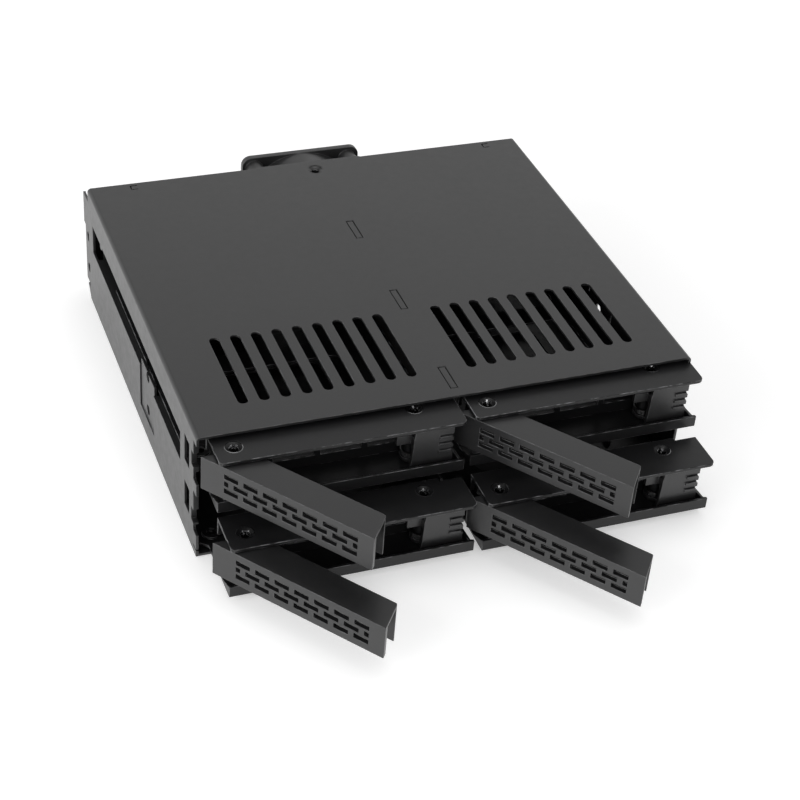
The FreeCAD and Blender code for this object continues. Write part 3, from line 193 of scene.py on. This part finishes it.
def noise(tree, place, scale, detail):
    """Gives a noise between zero and one."""
    made = add_node(tree, "TexNoise", {"Vector": place, "Scale": scale, "Detail": detail})
    return made.outputs["Fac"]


def raised(tree, height, strength, distance):
    """Gives a normal that is bent by a height."""
    made = add_node(tree, "Bump", {"Height": height, "Strength": strength, "Distance": distance})
    return made.outputs["Normal"]


# %% [markdown]
# ## Light and floor
#
# The studio was a white sweep: soft light from all round and a pure white
# ground. Black paint shows mostly what it mirrors, so that matters more than
# the lamps: the walls mirror the white floor and look pale, while the top
# mirrors the backdrop, which gets darker upwards. The room behind the camera is
# dim. The world therefore shows white to the camera, this sweep to mirrored
# rays, and an even half light to the rest. The floor is pale paper and keeps
# the soft shadow of the cage.

# %% World and lamps
WHITE = (1, 1, 1, 1)
HALF_LIGHT = 0.5
FULL_LIGHT = 1.0
BACKDROP_RISE = (0.44, 0.68)
BACKDROP_LIGHT = (1.0, 0.32)
ROOM_DEPTH = (-0.6, 0.3)
ROOM_LIGHT = (0.3, 1.0)
LAMPS = (
    ("lamp_left", (-0.80, -0.35, 0.40), 0.6, 4.0),
    ("lamp_top", (0.10, 0.10, 1.1), 0.8, 2.6),
    ("lamp_front", (-0.10, -1.0, 0.55), 0.6, 2.2),
)

scene.view_settings.view_transform = "Standard"
world = bpy.data.worlds.new("white_tent")
scene.world = world
world.use_nodes = True
tree = world.node_tree
tree.nodes.clear()
path = add_node(tree, "LightPath")
ways = add_node(tree, "TexCoord")
way = add_node(tree, "SeparateXYZ", {0: ways.outputs["Generated"]})
backdrop = mapped(tree, way.outputs["Z"], BACKDROP_RISE, BACKDROP_LIGHT)
room = mapped(tree, way.outputs["Y"], ROOM_DEPTH, ROOM_LIGHT)
sweep = combined(tree, "MULTIPLY", backdrop, room)
result = add_node(tree, "Background", {"Color": WHITE, "Strength": HALF_LIGHT}).outputs[0]
for ray, strength in (
    ("Is Glossy Ray", sweep),
    ("Is Transmission Ray", FULL_LIGHT),
    ("Is Camera Ray", FULL_LIGHT),
):
    layer = add_node(tree, "Background", {"Color": WHITE, "Strength": strength})
    choose = add_node(tree, "MixShader", {0: path.outputs[ray], 1: result, 2: layer.outputs[0]})
    result = choose.outputs[0]
add_node(tree, "OutputWorld", {0: result})


def soft_lamp(name, place, size, power):
    """Hangs up a square soft lamp that looks at the camera's target."""
    lamp = bpy.data.lights.new(name, "AREA")
    lamp.shape = "SQUARE"
    lamp.size = size
    lamp.energy = power
    holder = bpy.data.objects.new(name, lamp)
    scene.collection.objects.link(holder)
    holder.location = place
    holder.rotation_mode = "QUATERNION"
    holder.rotation_quaternion = (TARGET - Vector(place)).to_track_quat("-Z", "Y")


for lamp_facts in LAMPS:
    soft_lamp(*lamp_facts)
print("lamps:", len(LAMPS))

# %% Floor
FLOOR_HALF = 6.0
FLOOR_DROP = 0.2 * MM
PAPER = (0.84, 0.84, 0.84, 1)
PAPER_GLOW = 0.38

floor_mesh = bpy.data.meshes.new("floor")
sheet = bmesh.new()
bmesh.ops.create_grid(sheet, x_segments=1, y_segments=1, size=FLOOR_HALF)
sheet.to_mesh(floor_mesh)
sheet.free()
floor = bpy.data.objects.new("floor", floor_mesh)
scene.collection.objects.link(floor)
floor.location = (0, 0, first_low.z - FLOOR_DROP)
floor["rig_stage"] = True

paper = bpy.data.materials.new("pale_paper")
paper.use_nodes = True
tree = paper.node_tree
tree.nodes.clear()
path = add_node(tree, "LightPath")
rays = (path.outputs["Is Camera Ray"], path.outputs["Is Glossy Ray"])
strength = combined(tree, "MULTIPLY", combined(tree, "MAXIMUM", *rays), PAPER_GLOW)
matt = add_node(tree, "BsdfDiffuse", {"Color": PAPER})
glow = add_node(tree, "Emission", {"Color": WHITE, "Strength": strength})
blend = add_node(tree, "AddShader", {0: matt.outputs[0], 1: glow.outputs[0]})
add_node(tree, "OutputMaterial", {0: blend.outputs[0]})
floor_mesh.materials.append(paper)
print("floor at", round(floor.location.z, 4))

# %% [markdown]
# ## Powder coat, moulded and plated finishes
#
# Powder paint on steel is a satin black skin with a fine pebble to it. It wears thin and light on
# cut edges, and no large sheet is perfectly even. One recipe makes all the black finishes: a slow
# noise shifts the colour, a fine noise raises the pebble, and a mark called "edge", which the
# softening step writes on the bevelled edges, lets a little light metal through there. That
# lighter edge is partly worn paint and partly a painted highlight for the bright line the edges
# catch.

# %% A helper for the black finishes
SLOW_SCALE = 34.0
SLOW_DETAIL = 3.0
SCUFF_SCALE = 420.0
SCUFF_DETAIL = 4.0
PEBBLE_DETAIL = 2.0
SCUFFED = (0.42, 0.72)
GLOSS_SPREAD = 0.07
PEBBLE_STRENGTH = 0.5


def new_material(name):
    """Makes a material, and gives it, its graph and its surface node."""
    made = bpy.data.materials.new(name)
    made.use_nodes = True
    return made, made.node_tree, made.node_tree.nodes["Principled BSDF"]


def tinted(colour, share):
    """Gives a colour at a share of its brightness, with its alpha."""
    return (*[min(1, c * share) for c in colour], 1)


def coat(name, colour, roughness, pebble, height, uneven=0.18, wear_and_highlight=0.35,
         worn_and_highlight_colour=(0.30, 0.30, 0.31), metallic=0.0, specular=0.5):
    """A painted or moulded skin with pebble, uneven colour, and edges lighter from wear and a
    painted highlight.
    """
    made, tree, skin = new_material(name)
    place = add_node(tree, "TexCoord").outputs["Object"]

    slow = noise(tree, place, SLOW_SCALE, SLOW_DETAIL)
    shade = mixed(tree, slow, tinted(colour, 1 - uneven), tinted(colour, 1 + uneven))

    # Lighter bevelled edges: partly worn paint, partly a painted highlight.
    scuff = noise(tree, place, SCUFF_SCALE, SCUFF_DETAIL)
    edge = add_node(tree, "Attribute")
    edge.attribute_name = "edge"
    wear_and_highlight_patches = mapped(tree, scuff, SCUFFED, (0.0, wear_and_highlight))
    amount = combined(tree, "MULTIPLY", wear_and_highlight_patches, edge.outputs["Fac"])

    fine = noise(tree, place, pebble, PEBBLE_DETAIL)
    gloss = (roughness - GLOSS_SPREAD, roughness + GLOSS_SPREAD)
    feed(tree, skin, {
        "Base Color": mixed(tree, amount, shade, (*worn_and_highlight_colour, 1)),
        "Metallic": metallic,
        "Specular IOR Level": specular,
        "Roughness": mapped(tree, scuff, (0.0, 1.0), gloss),
        "Normal": raised(tree, fine, PEBBLE_STRENGTH, height),
    })
    return made


# %% Black finishes
black_sheet = coat("black_sheet_paint", (0.011, 0.011, 0.0115), 0.38, 2300.0, 0.03 * MM,
                   specular=0.75)
# The tray paint is darker than the housing paint as painted shade for the dim inside of the cage.
# Its edges get more of the lighter edge mark, partly a painted highlight.
tray_sheet = coat("tray_sheet_paint", (0.007, 0.007, 0.0075), 0.38, 2300.0, 0.03 * MM,
                  wear_and_highlight=0.7, specular=0.44)
handle_black = coat("handle_paint", (0.012, 0.012, 0.0125), 0.36, 3000.0, 0.02 * MM,
                    wear_and_highlight=0.25, specular=0.72)
moulded_black = coat("moulded_black", (0.014, 0.014, 0.0145), 0.55, 1500.0, 0.03 * MM,
                     wear_and_highlight=0.15)
fan_black = coat("fan_plastic_black", (0.014, 0.014, 0.0145), 0.40, 1800.0, 0.02 * MM,
                 wear_and_highlight=0.2, specular=0.7)
screw_black = coat("screw_black_zinc", (0.34, 0.34, 0.345), 0.22, 1200.0, 0.01 * MM,
                   wear_and_highlight=0.6, metallic=1.0)
fan_screw_black = coat("fan_screw_black", (0.06, 0.06, 0.062), 0.30, 1200.0, 0.01 * MM,
                       wear_and_highlight=0.5, metallic=1.0)
# Painted shade: a near black, dull paint for the blind slot floors, standing for the dark hollow
# behind the real slots.
painted_slot_shade = coat("painted_slot_shade", (0.002, 0.002, 0.002), 0.80, 2300.0, 0.01 * MM,
                  specular=0.1)
blacks = (black_sheet, tray_sheet, handle_black, moulded_black, fan_black, screw_black,
          fan_screw_black, painted_slot_shade)
print("black finishes:", [m.name for m in blacks])

# %% [markdown]
# ## Blackened steel, spring wire, winding and circuit board
#
# Turned posts keep fine rings from the lathe, so their noise is stretched along
# the axis. They and the springs are blackened against rust, and read as a dark
# satin grey. The circuit board is black lacquer over copper tracks: a brick
# pattern gives the straight tracks, faintly lighter than the board.

# %% Bare metals
GRAIN_SCALE = 900.0
GRAIN_DETAIL = 5.0
GRAIN_TONES = (0.8, 1.15)
GRAIN_GLOSS = 0.1
GRAIN_STRENGTH = 0.4
GRAIN_HEIGHT = 0.01 * MM


def metal(name, colour, roughness, stretch):
    """Bare metal with a grain that is drawn out along one axis."""
    made, tree, skin = new_material(name)
    place = add_node(tree, "TexCoord").outputs["Object"]
    pull = add_node(tree, "Mapping", {"Vector": place, "Scale": stretch})
    grain = noise(tree, pull.outputs["Vector"], GRAIN_SCALE, GRAIN_DETAIL)
    dark, light = [tinted(colour, share) for share in GRAIN_TONES]
    gloss = (roughness - GRAIN_GLOSS, roughness + GRAIN_GLOSS)
    feed(tree, skin, {
        "Base Color": mixed(tree, grain, dark, light),
        "Metallic": 1.0,
        "Roughness": mapped(tree, grain, (0.0, 1.0), gloss),
        "Normal": raised(tree, grain, GRAIN_STRENGTH, GRAIN_HEIGHT),
    })
    return made


turned_steel = metal("blackened_steel", (0.11, 0.11, 0.115), 0.36, (0.15, 0.15, 4.0))
drawn_wire = metal("blackened_wire", (0.12, 0.12, 0.12), 0.30, (1.0, 1.0, 1.0))
copper_wire = metal("copper_winding", (0.50, 0.21, 0.09), 0.30, (1.0, 6.0, 1.0))
print("bare metals:", [m.name for m in (turned_steel, drawn_wire, copper_wire)])

# %% Circuit board
board_black, tree, skin = new_material("circuit_board_black")
place = add_node(tree, "TexCoord").outputs["Object"]
upright_turn = (math.radians(90), 0, 0)
turn = add_node(tree, "Mapping", {"Vector": place, "Rotation": upright_turn})
tracks = add_node(tree, "TexBrick", {
    "Vector": turn.outputs["Vector"],
    "Scale": 260.0,
    "Mortar Size": 0.09,
    "Color1": (0.010, 0.012, 0.012, 1),
    "Color2": (0.013, 0.015, 0.015, 1),
    "Mortar": (0.026, 0.028, 0.026, 1),
})
feed(tree, skin, {
    "Base Color": tracks.outputs["Color"],
    "Roughness": 0.34,
    "Normal": raised(tree, tracks.outputs["Fac"], 0.3, 0.04 * MM),
})
print("board finish:", board_black.name)

# %% [markdown]
# ## Softened edges
#
# A punched or laser-cut sheet never has a perfectly sharp edge: paint rounds it, and that thin
# bright line is what makes metal read as metal. The solids come as loose triangles, so each copy
# is merged, its flat triangles are joined back into faces, and every sharp edge is bevelled. A
# face with a round hole in it can fold over itself when it is joined, so the fan's frame and the
# handles keep their triangles. The new faces are marked so that the paint can show wear there, and
# a painted highlight too. Copies are used because the measured nodes stay as they are.

# %% Helpers for softening
MERGE = 0.000002
JOIN_ANGLE = math.radians(0.6)
SHARP_ANGLE = math.radians(30)
SOFT_SMOOTH = math.radians(40)
FINE_SMOOTH = math.radians(30)
EDGE_STEPS = 2
RIM_STEPS = 3


def middle(node):
    """The middle of a node's box."""
    low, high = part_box(node)
    return (low + high) / 2


def finished(name, work, body, finish, smooth=FINE_SMOOTH):
    """Turns a worked mesh into a piece that rides on a body."""
    mesh = bpy.data.meshes.new(name)
    work.to_mesh(mesh)
    work.free()
    mesh.shade_smooth()
    mesh.set_sharp_from_angle(angle=smooth)
    mesh.materials.append(finish)
    piece = bpy.data.objects.new(name, mesh)
    scene.collection.objects.link(piece)
    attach(piece, body)
    return piece


def bevel(work, edges, width, steps):
    """Rounds some edges and gives the new faces."""
    made = bmesh.ops.bevel(
        work, geom=edges, offset=width, offset_type="OFFSET", segments=steps, profile=0.5,
        affect="EDGES", clamp_overlap=False, material=-1,
    )
    return made["faces"]


def soften(node, finish, width, join=True, rims=None, deep=0.0):
    """A bevelled copy of a node that stands for it, with some rims rounded more."""
    work = bmesh.new()
    work.from_mesh(nodes[node].data)
    bmesh.ops.remove_doubles(work, verts=work.verts, dist=MERGE)
    if join:
        bmesh.ops.dissolve_limit(work, angle_limit=JOIN_ANGLE, verts=work.verts, edges=work.edges)
    sharp = []
    for e in work.edges:
        bent = len(e.link_faces) == 2 and e.calc_face_angle(0.0) > SHARP_ANGLE
        if bent and e.calc_length() > width:
            sharp.append(e)
    # The edge mark lets the paint turn lighter on the bevels, as wear and as a painted highlight.
    mark = work.faces.layers.float.new("edge")
    if rims:
        bevel(work, [e for e in sharp if rims(e)], deep, RIM_STEPS)
        sharp = [e for e in sharp if e.is_valid]
    for f in bevel(work, sharp, width, EDGE_STEPS):
        f[mark] = 1.0
    piece = finished(node + "_soft", work, nodes[node]["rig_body"], finish, SOFT_SMOOTH)
    even = piece.modifiers.new("even_shading", "WEIGHTED_NORMAL")
    even.keep_sharp = True
    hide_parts(node)
    return piece


# %% [markdown]
# ## Rims and grooves
#
# Two places need more than the thin edge. A countersunk screw lies in a pressed
# seat with a round shoulder, and the three lugs of the divider are set off from
# the top by a fine groove. Both are found by where their edges lie.

# %% Tests for rims
SEAT_RADIUS = 2.75 * MM
SEAT_PLAY = 0.12 * MM
LEVEL_PLAY = 0.02 * MM
LUG_X = 1.25 * MM
LUG_REACH = 1.6 * MM
LUGS_END = 35.0 * MM


def seat_rims(spots):
    """A test for the upper rims of the screw seats at some spots."""
    def on_rim(point, spot):
        off = (point - spot).to_2d().length - SEAT_RADIUS
        return abs(off) < SEAT_PLAY and abs(point.z - spot.z) < LEVEL_PLAY

    def test(edge):
        return any(all(on_rim(v.co, spot) for v in edge.verts) for spot in spots)
    return test


def lug_rims(top):
    """A test for the edges round the divider's lugs, at one height."""
    def on_rim(point):
        near = abs(point.x - LUG_X) < LUG_REACH and point.y < LUGS_END
        return near and abs(point.z - top) < LEVEL_PLAY

    def test(edge):
        return all(on_rim(v.co) for v in edge.verts)
    return test


# %% Housing and fan
SHELL_EDGE = 0.10 * MM
EDGE = 0.12 * MM
GROOVE = 0.22 * MM

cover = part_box("housing_shell")[1].z
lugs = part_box("centre_divider")[1].z
made = [
    soften("housing_shell", black_sheet, SHELL_EDGE,
           rims=lug_rims(cover), deep=GROOVE),
    soften("bottom_plate", black_sheet, EDGE),
    soften("centre_divider", black_sheet, EDGE,
           rims=lug_rims(lugs), deep=GROOVE),
    soften("rear_panel", black_sheet, EDGE),
    soften("fan_frame", fan_black, EDGE, join=False),
    soften("fan_rotor", fan_black, EDGE),
    soften("drive_connectors", moulded_black, EDGE),
    soften("data_ports", moulded_black, EDGE),
    soften("power_inlets", moulded_black, EDGE),
]
print("softened housing:", len(made), "pieces, cover and lugs at", round(cover, 5), round(lugs, 5))

# %% [markdown]
# ## Trays and their slotted handles
#
# A tray is a pan, a bracket, a handle and a latch. The slots in a handle's face are shallow, but
# in the picture they look black, as the real slots open into the dark hollow of the handle. Their
# floors lie just behind the face and look the same way as it, so they can be found and given a
# dull, near black paint of their own: painted shade that stands for that dark hollow.

# %% Trays
HANDLE_TURN = math.radians(52.4)
FACE = Vector((-math.sin(HANDLE_TURN), -math.cos(HANDLE_TURN), 0))
SAME_WAY = 0.99
SLOT_NEAR = 1.2 * MM
SLOT_FAR = 1.6 * MM
PAN_EDGE = 0.14 * MM
BRACKET_EDGE = 0.16 * MM
HANDLE_EDGE = 0.13 * MM
LATCH_EDGE = 0.14 * MM
SEAT_ROUND = 0.6 * MM


def paint_shade_in_slots(piece):
    """Paints shade on the floors of the slots in a handle's face, for the dark hollow behind."""
    piece.data.materials.append(painted_slot_shade)
    front = max(v.co.dot(FACE) for v in piece.data.vertices)
    count = 0
    for face in piece.data.polygons:
        behind = front - face.center.dot(FACE)
        if face.normal.dot(FACE) > SAME_WAY and SLOT_NEAR < behind < SLOT_FAR:
            face.material_index = 1
            count += 1
    return count


# Counts the slot floor faces that get the painted shade.
dark = 0
for tray in TRAYS:
    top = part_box("tray_bracket_" + tray)[1].z
    seats = [Vector((*middle(pin + tray).to_2d(), top)) for pin in ("handle_pin_", "latch_pin_")]
    made.append(soften("tray_pan_" + tray, tray_sheet, PAN_EDGE))
    made.append(soften("tray_bracket_" + tray, tray_sheet, BRACKET_EDGE,
                       rims=seat_rims(seats), deep=SEAT_ROUND))
    made.append(soften("handle_" + tray, handle_black, HANDLE_EDGE, join=False))
    dark += paint_shade_in_slots(made[-1])
    made.append(soften("latch_" + tray, handle_black, LATCH_EDGE))
faces = sum(len(p.data.polygons) for p in made)
print("softened:", len(made), "pieces,", faces, "faces,", dark, "slot faces")

# %% [markdown]
# ## Countersunk screws
#
# The screws that hold the posts sit flush in a pressed cone, with a cross for
# the driver. A plain disc would look printed on, so the cross is a real hole: a
# three by three grid without its corners makes the cross outline, extruding it
# down makes its walls, and bridging its rim to the round rim makes the face of
# the head. The threaded shank is a plain cylinder, hidden in the post.

# %% Screw helper
HEAD = 2.62 * MM
HEAD_FLAT = HEAD * 0.9
HEAD_BROW = HEAD * 0.98
DOME = 0.12 * MM
CONE = 0.66 * MM
SHANK = 1.24 * MM
ROUND_STEPS = 24
CROSS = 1.15 * MM
CROSS_DEPTH = 0.6 * MM
ARM_SHARE = 0.72
CROSS_TAPER = 0.72


def boundary(work):
    """The edges that have fewer than two faces."""
    return [e for e in work.edges if len(e.link_faces) < 2]


def of_kind(kind, made):
    """The vertices or edges that an operator has made."""
    return [g for g in made["geom"] if isinstance(g, kind)]


def screw_mesh(work, length, cross, depth):
    """Adds one screw to a bmesh, its face at zero and its shank downwards."""
    fresh = bmesh.new()
    bmesh.ops.create_grid(fresh, x_segments=3, y_segments=3, size=cross)
    corners = []
    for f in fresh.faces:
        centre = f.calc_center_median()
        if min(abs(centre.x), abs(centre.y)) > cross / 2:
            corners.append(f)
    bmesh.ops.delete(fresh, geom=corners, context="FACES")
    for v in fresh.verts:
        if abs(v.co.x) < cross / 2:
            v.co.x *= ARM_SHARE
        if abs(v.co.y) < cross / 2:
            v.co.y *= ARM_SHARE
    low = of_kind(bmesh.types.BMVert, bmesh.ops.extrude_face_region(fresh, geom=fresh.faces[:]))
    bmesh.ops.scale(fresh, vec=(CROSS_TAPER, CROSS_TAPER, 1), verts=low)
    bmesh.ops.translate(fresh, vec=(0, 0, -depth), verts=low)
    flat = [f for f in fresh.faces if f.calc_center_median().z > -depth / 20]
    bmesh.ops.delete(fresh, geom=flat, context="FACES_ONLY")
    inner = boundary(fresh)
    bmesh.ops.create_circle(fresh, segments=ROUND_STEPS, radius=HEAD_FLAT)
    outer = [e for e in boundary(fresh) if e not in inner]
    bmesh.ops.bridge_loops(fresh, edges=inner + outer)
    for radius, height in (
        (HEAD_BROW, -DOME / 4),
        (HEAD, -DOME),
        (SHANK, -DOME - CONE),
        (SHANK, -length),
    ):
        rim = bmesh.ops.extrude_edge_only(fresh, edges=outer)
        ring = of_kind(bmesh.types.BMVert, rim)
        outer = of_kind(bmesh.types.BMEdge, rim)
        share = radius / ring[0].co.to_2d().length
        bmesh.ops.scale(fresh, vec=(share, share, 1), verts=ring)
        bmesh.ops.translate(fresh, vec=(0, 0, height - ring[0].co.z), verts=ring)
    bmesh.ops.holes_fill(fresh, edges=outer)
    bmesh.ops.recalc_face_normals(fresh, faces=fresh.faces)
    mesh = bpy.data.meshes.new("one_screw")
    fresh.to_mesh(mesh)
    fresh.free()
    before = len(work.verts)
    work.from_mesh(mesh)
    work.verts.ensure_lookup_table()
    bpy.data.meshes.remove(mesh)
    return work.verts[before:]


def add_screw(work, spot, face, turn, length, cross=CROSS, depth=CROSS_DEPTH):
    """Adds a screw at a spot, with its head towards one side."""
    screw = screw_mesh(work, length, cross, depth)
    aim = Vector((0, 0, 1)).rotation_difference(Vector(face)).to_matrix()
    spin = Matrix.Rotation(turn, 3, "Z")
    bmesh.ops.rotate(work, cent=(0, 0, 0), matrix=aim @ spin, verts=screw)
    bmesh.ops.translate(work, vec=spot, verts=screw)


# %% Tray screws
UP = (0, 0, 1)
DOWN = (0, 0, -1)
SUNK_ABOVE = 0.08 * MM
SUNK_BELOW = 0.05 * MM
PLATE_SCREW = 5.9 * MM
PAN_SCREW = 4.9 * MM
TURN_FIRST = 0.5
TURN_TRAY = 0.8
TURN_LATCH = 1.1

for number, tray in enumerate(TRAYS):
    work = bmesh.new()
    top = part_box("tray_bracket_" + tray)[1].z - SUNK_ABOVE
    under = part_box("tray_pan_" + tray)[0].z + SUNK_BELOW
    turn = TURN_FIRST + number * TURN_TRAY
    for post, more in (("handle_pin_", 0.0), ("latch_pin_", TURN_LATCH)):
        spot = middle(post + tray)
        add_screw(work, (spot.x, spot.y, top), UP, turn + more, PLATE_SCREW)
        add_screw(work, (spot.x, spot.y, under), DOWN, turn + more, PAN_SCREW)
    piece = finished("tray_screws_fine_" + tray, work, "tray_" + tray, screw_black)
    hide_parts("tray_screws_" + tray)
    print(piece.name, len(piece.data.polygons), "faces")

# %% [markdown]
# ## Case screws
#
# One screw at the rear of the top and two in the bottom hold the housing
# together. Their places are read from the measured node. The upper one is
# painted over, so its cross is nearly filled.

# %% Case screws
CASE_SCREW = 3.9 * MM
FILLED_CROSS = 1.0 * MM
FILLED_DEPTH = 0.09 * MM
TURN_LID = 0.4
TURN_FOOT = 0.7


def box_middle(points):
    """The middle of the box round some points."""
    ends = [(min(p[i] for p in points), max(p[i] for p in points)) for i in range(3)]
    return Vector([(a + b) / 2 for a, b in ends])


low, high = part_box("case_screws")
points = [v.co for v in nodes["case_screws"].data.vertices]
half = (low.z + high.z) / 2
work = bmesh.new()
spot = box_middle([p for p in points if p.z > half])
add_screw(work, (spot.x, spot.y, cover - SUNK_ABOVE), UP, TURN_LID, CASE_SCREW,
          FILLED_CROSS, FILLED_DEPTH)
for side in (-1, 1):
    spot = box_middle([p for p in points if p.z < half and p.x * side > 0])
    foot = (spot.x, spot.y, low.z + SUNK_BELOW)
    add_screw(work, foot, DOWN, TURN_FOOT * side, CASE_SCREW)
piece = finished("case_screws_fine", work, "housing", black_sheet)
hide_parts("case_screws")
print(piece.name, len(piece.data.polygons), "faces")

# %% [markdown]
# ## Springs
#
# A torsion spring lies round each post and pushes the lever or the latch back.
# The measured solid has closed rings. Real wire climbs as it is wound, so here
# one round section is spun about the post with a small rise at each step. The
# section at the start is then pulled out straight, and makes the leg. The
# coil's height and reach come from the solid's box.

# %% Spring helper
WIRE = 0.29 * MM
WIRE_SIDES = 8
WIRE_ROOM = 1.05
COIL_ENDS = 2.2
TURNS = 2.8
STEPS = 24


def spring_mesh(node, post, side):
    """A coil round a post, which starts with a straight leg along X on one side."""
    low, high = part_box(node)
    centre = middle(post)
    reach = max(high.y - centre.y, centre.y - low.y) - WIRE
    start = (centre.x, centre.y + side * reach, low.z + WIRE * WIRE_ROOM)
    work = bmesh.new()
    ring = bmesh.ops.create_circle(work, segments=WIRE_SIDES, radius=WIRE)["verts"]
    across = Matrix.Rotation(math.radians(90), 3, "Y")
    bmesh.ops.rotate(work, cent=(0, 0, 0), matrix=across, verts=ring)
    bmesh.ops.translate(work, vec=start, verts=ring)
    first = work.edges[:]
    rise = (high.z - low.z - COIL_ENDS * WIRE) / (TURNS * STEPS)
    bmesh.ops.spin(
        work, geom=ring + first, cent=centre, axis=(0, 0, 1), dvec=(0, 0, rise),
        angle=math.radians(360 * TURNS) * side, steps=int(TURNS * STEPS),
    )
    leg = of_kind(bmesh.types.BMVert, bmesh.ops.extrude_edge_only(work, edges=first))
    bmesh.ops.translate(work, vec=(high.x - centre.x, 0, 0), verts=leg)
    bmesh.ops.holes_fill(work, edges=boundary(work))
    bmesh.ops.recalc_face_normals(work, faces=work.faces)
    return work


# %% Springs
count = 0
for tray in TRAYS:
    for kind, side in (("handle", 1), ("latch", -1)):
        node = kind + "_spring_" + tray
        work = spring_mesh(node, kind + "_pin_" + tray, side)
        name = kind + "_spring_fine_" + tray
        piece = finished(name, work, "tray_" + tray, drawn_wire)
        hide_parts(node)
        count += len(piece.data.polygons)
print("springs:", count, "faces")

# %% [markdown]
# ## Posts, spacers, winding and board
#
# These pieces have the right shapes already, so their nodes stay and only take
# a finish.


# %% Finishes on the kept nodes
def paint(node, finish):
    """Gives a kept node one finish."""
    slots = nodes[node].data.materials
    if len(slots) == 0:
        slots.append(finish)
    for i in range(len(slots)):
        slots[i] = finish


for node in ("backplane_standoffs", "backplane_screws"):
    paint(node, turned_steel)
paint("backplane_board", board_black)
paint("fan_stator", copper_wire)
paint("fan_screws", fan_screw_black)
for tray in TRAYS:
    paint("handle_pin_" + tray, turned_steel)
    paint("latch_pin_" + tray, turned_steel)
print("kept nodes:", sum(1 for n in nodes.values() if not n.hide_render))

# %% Sizes and the end
low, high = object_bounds()
print("size:", [round(v * 1000, 1) for v in high - low], "mm")
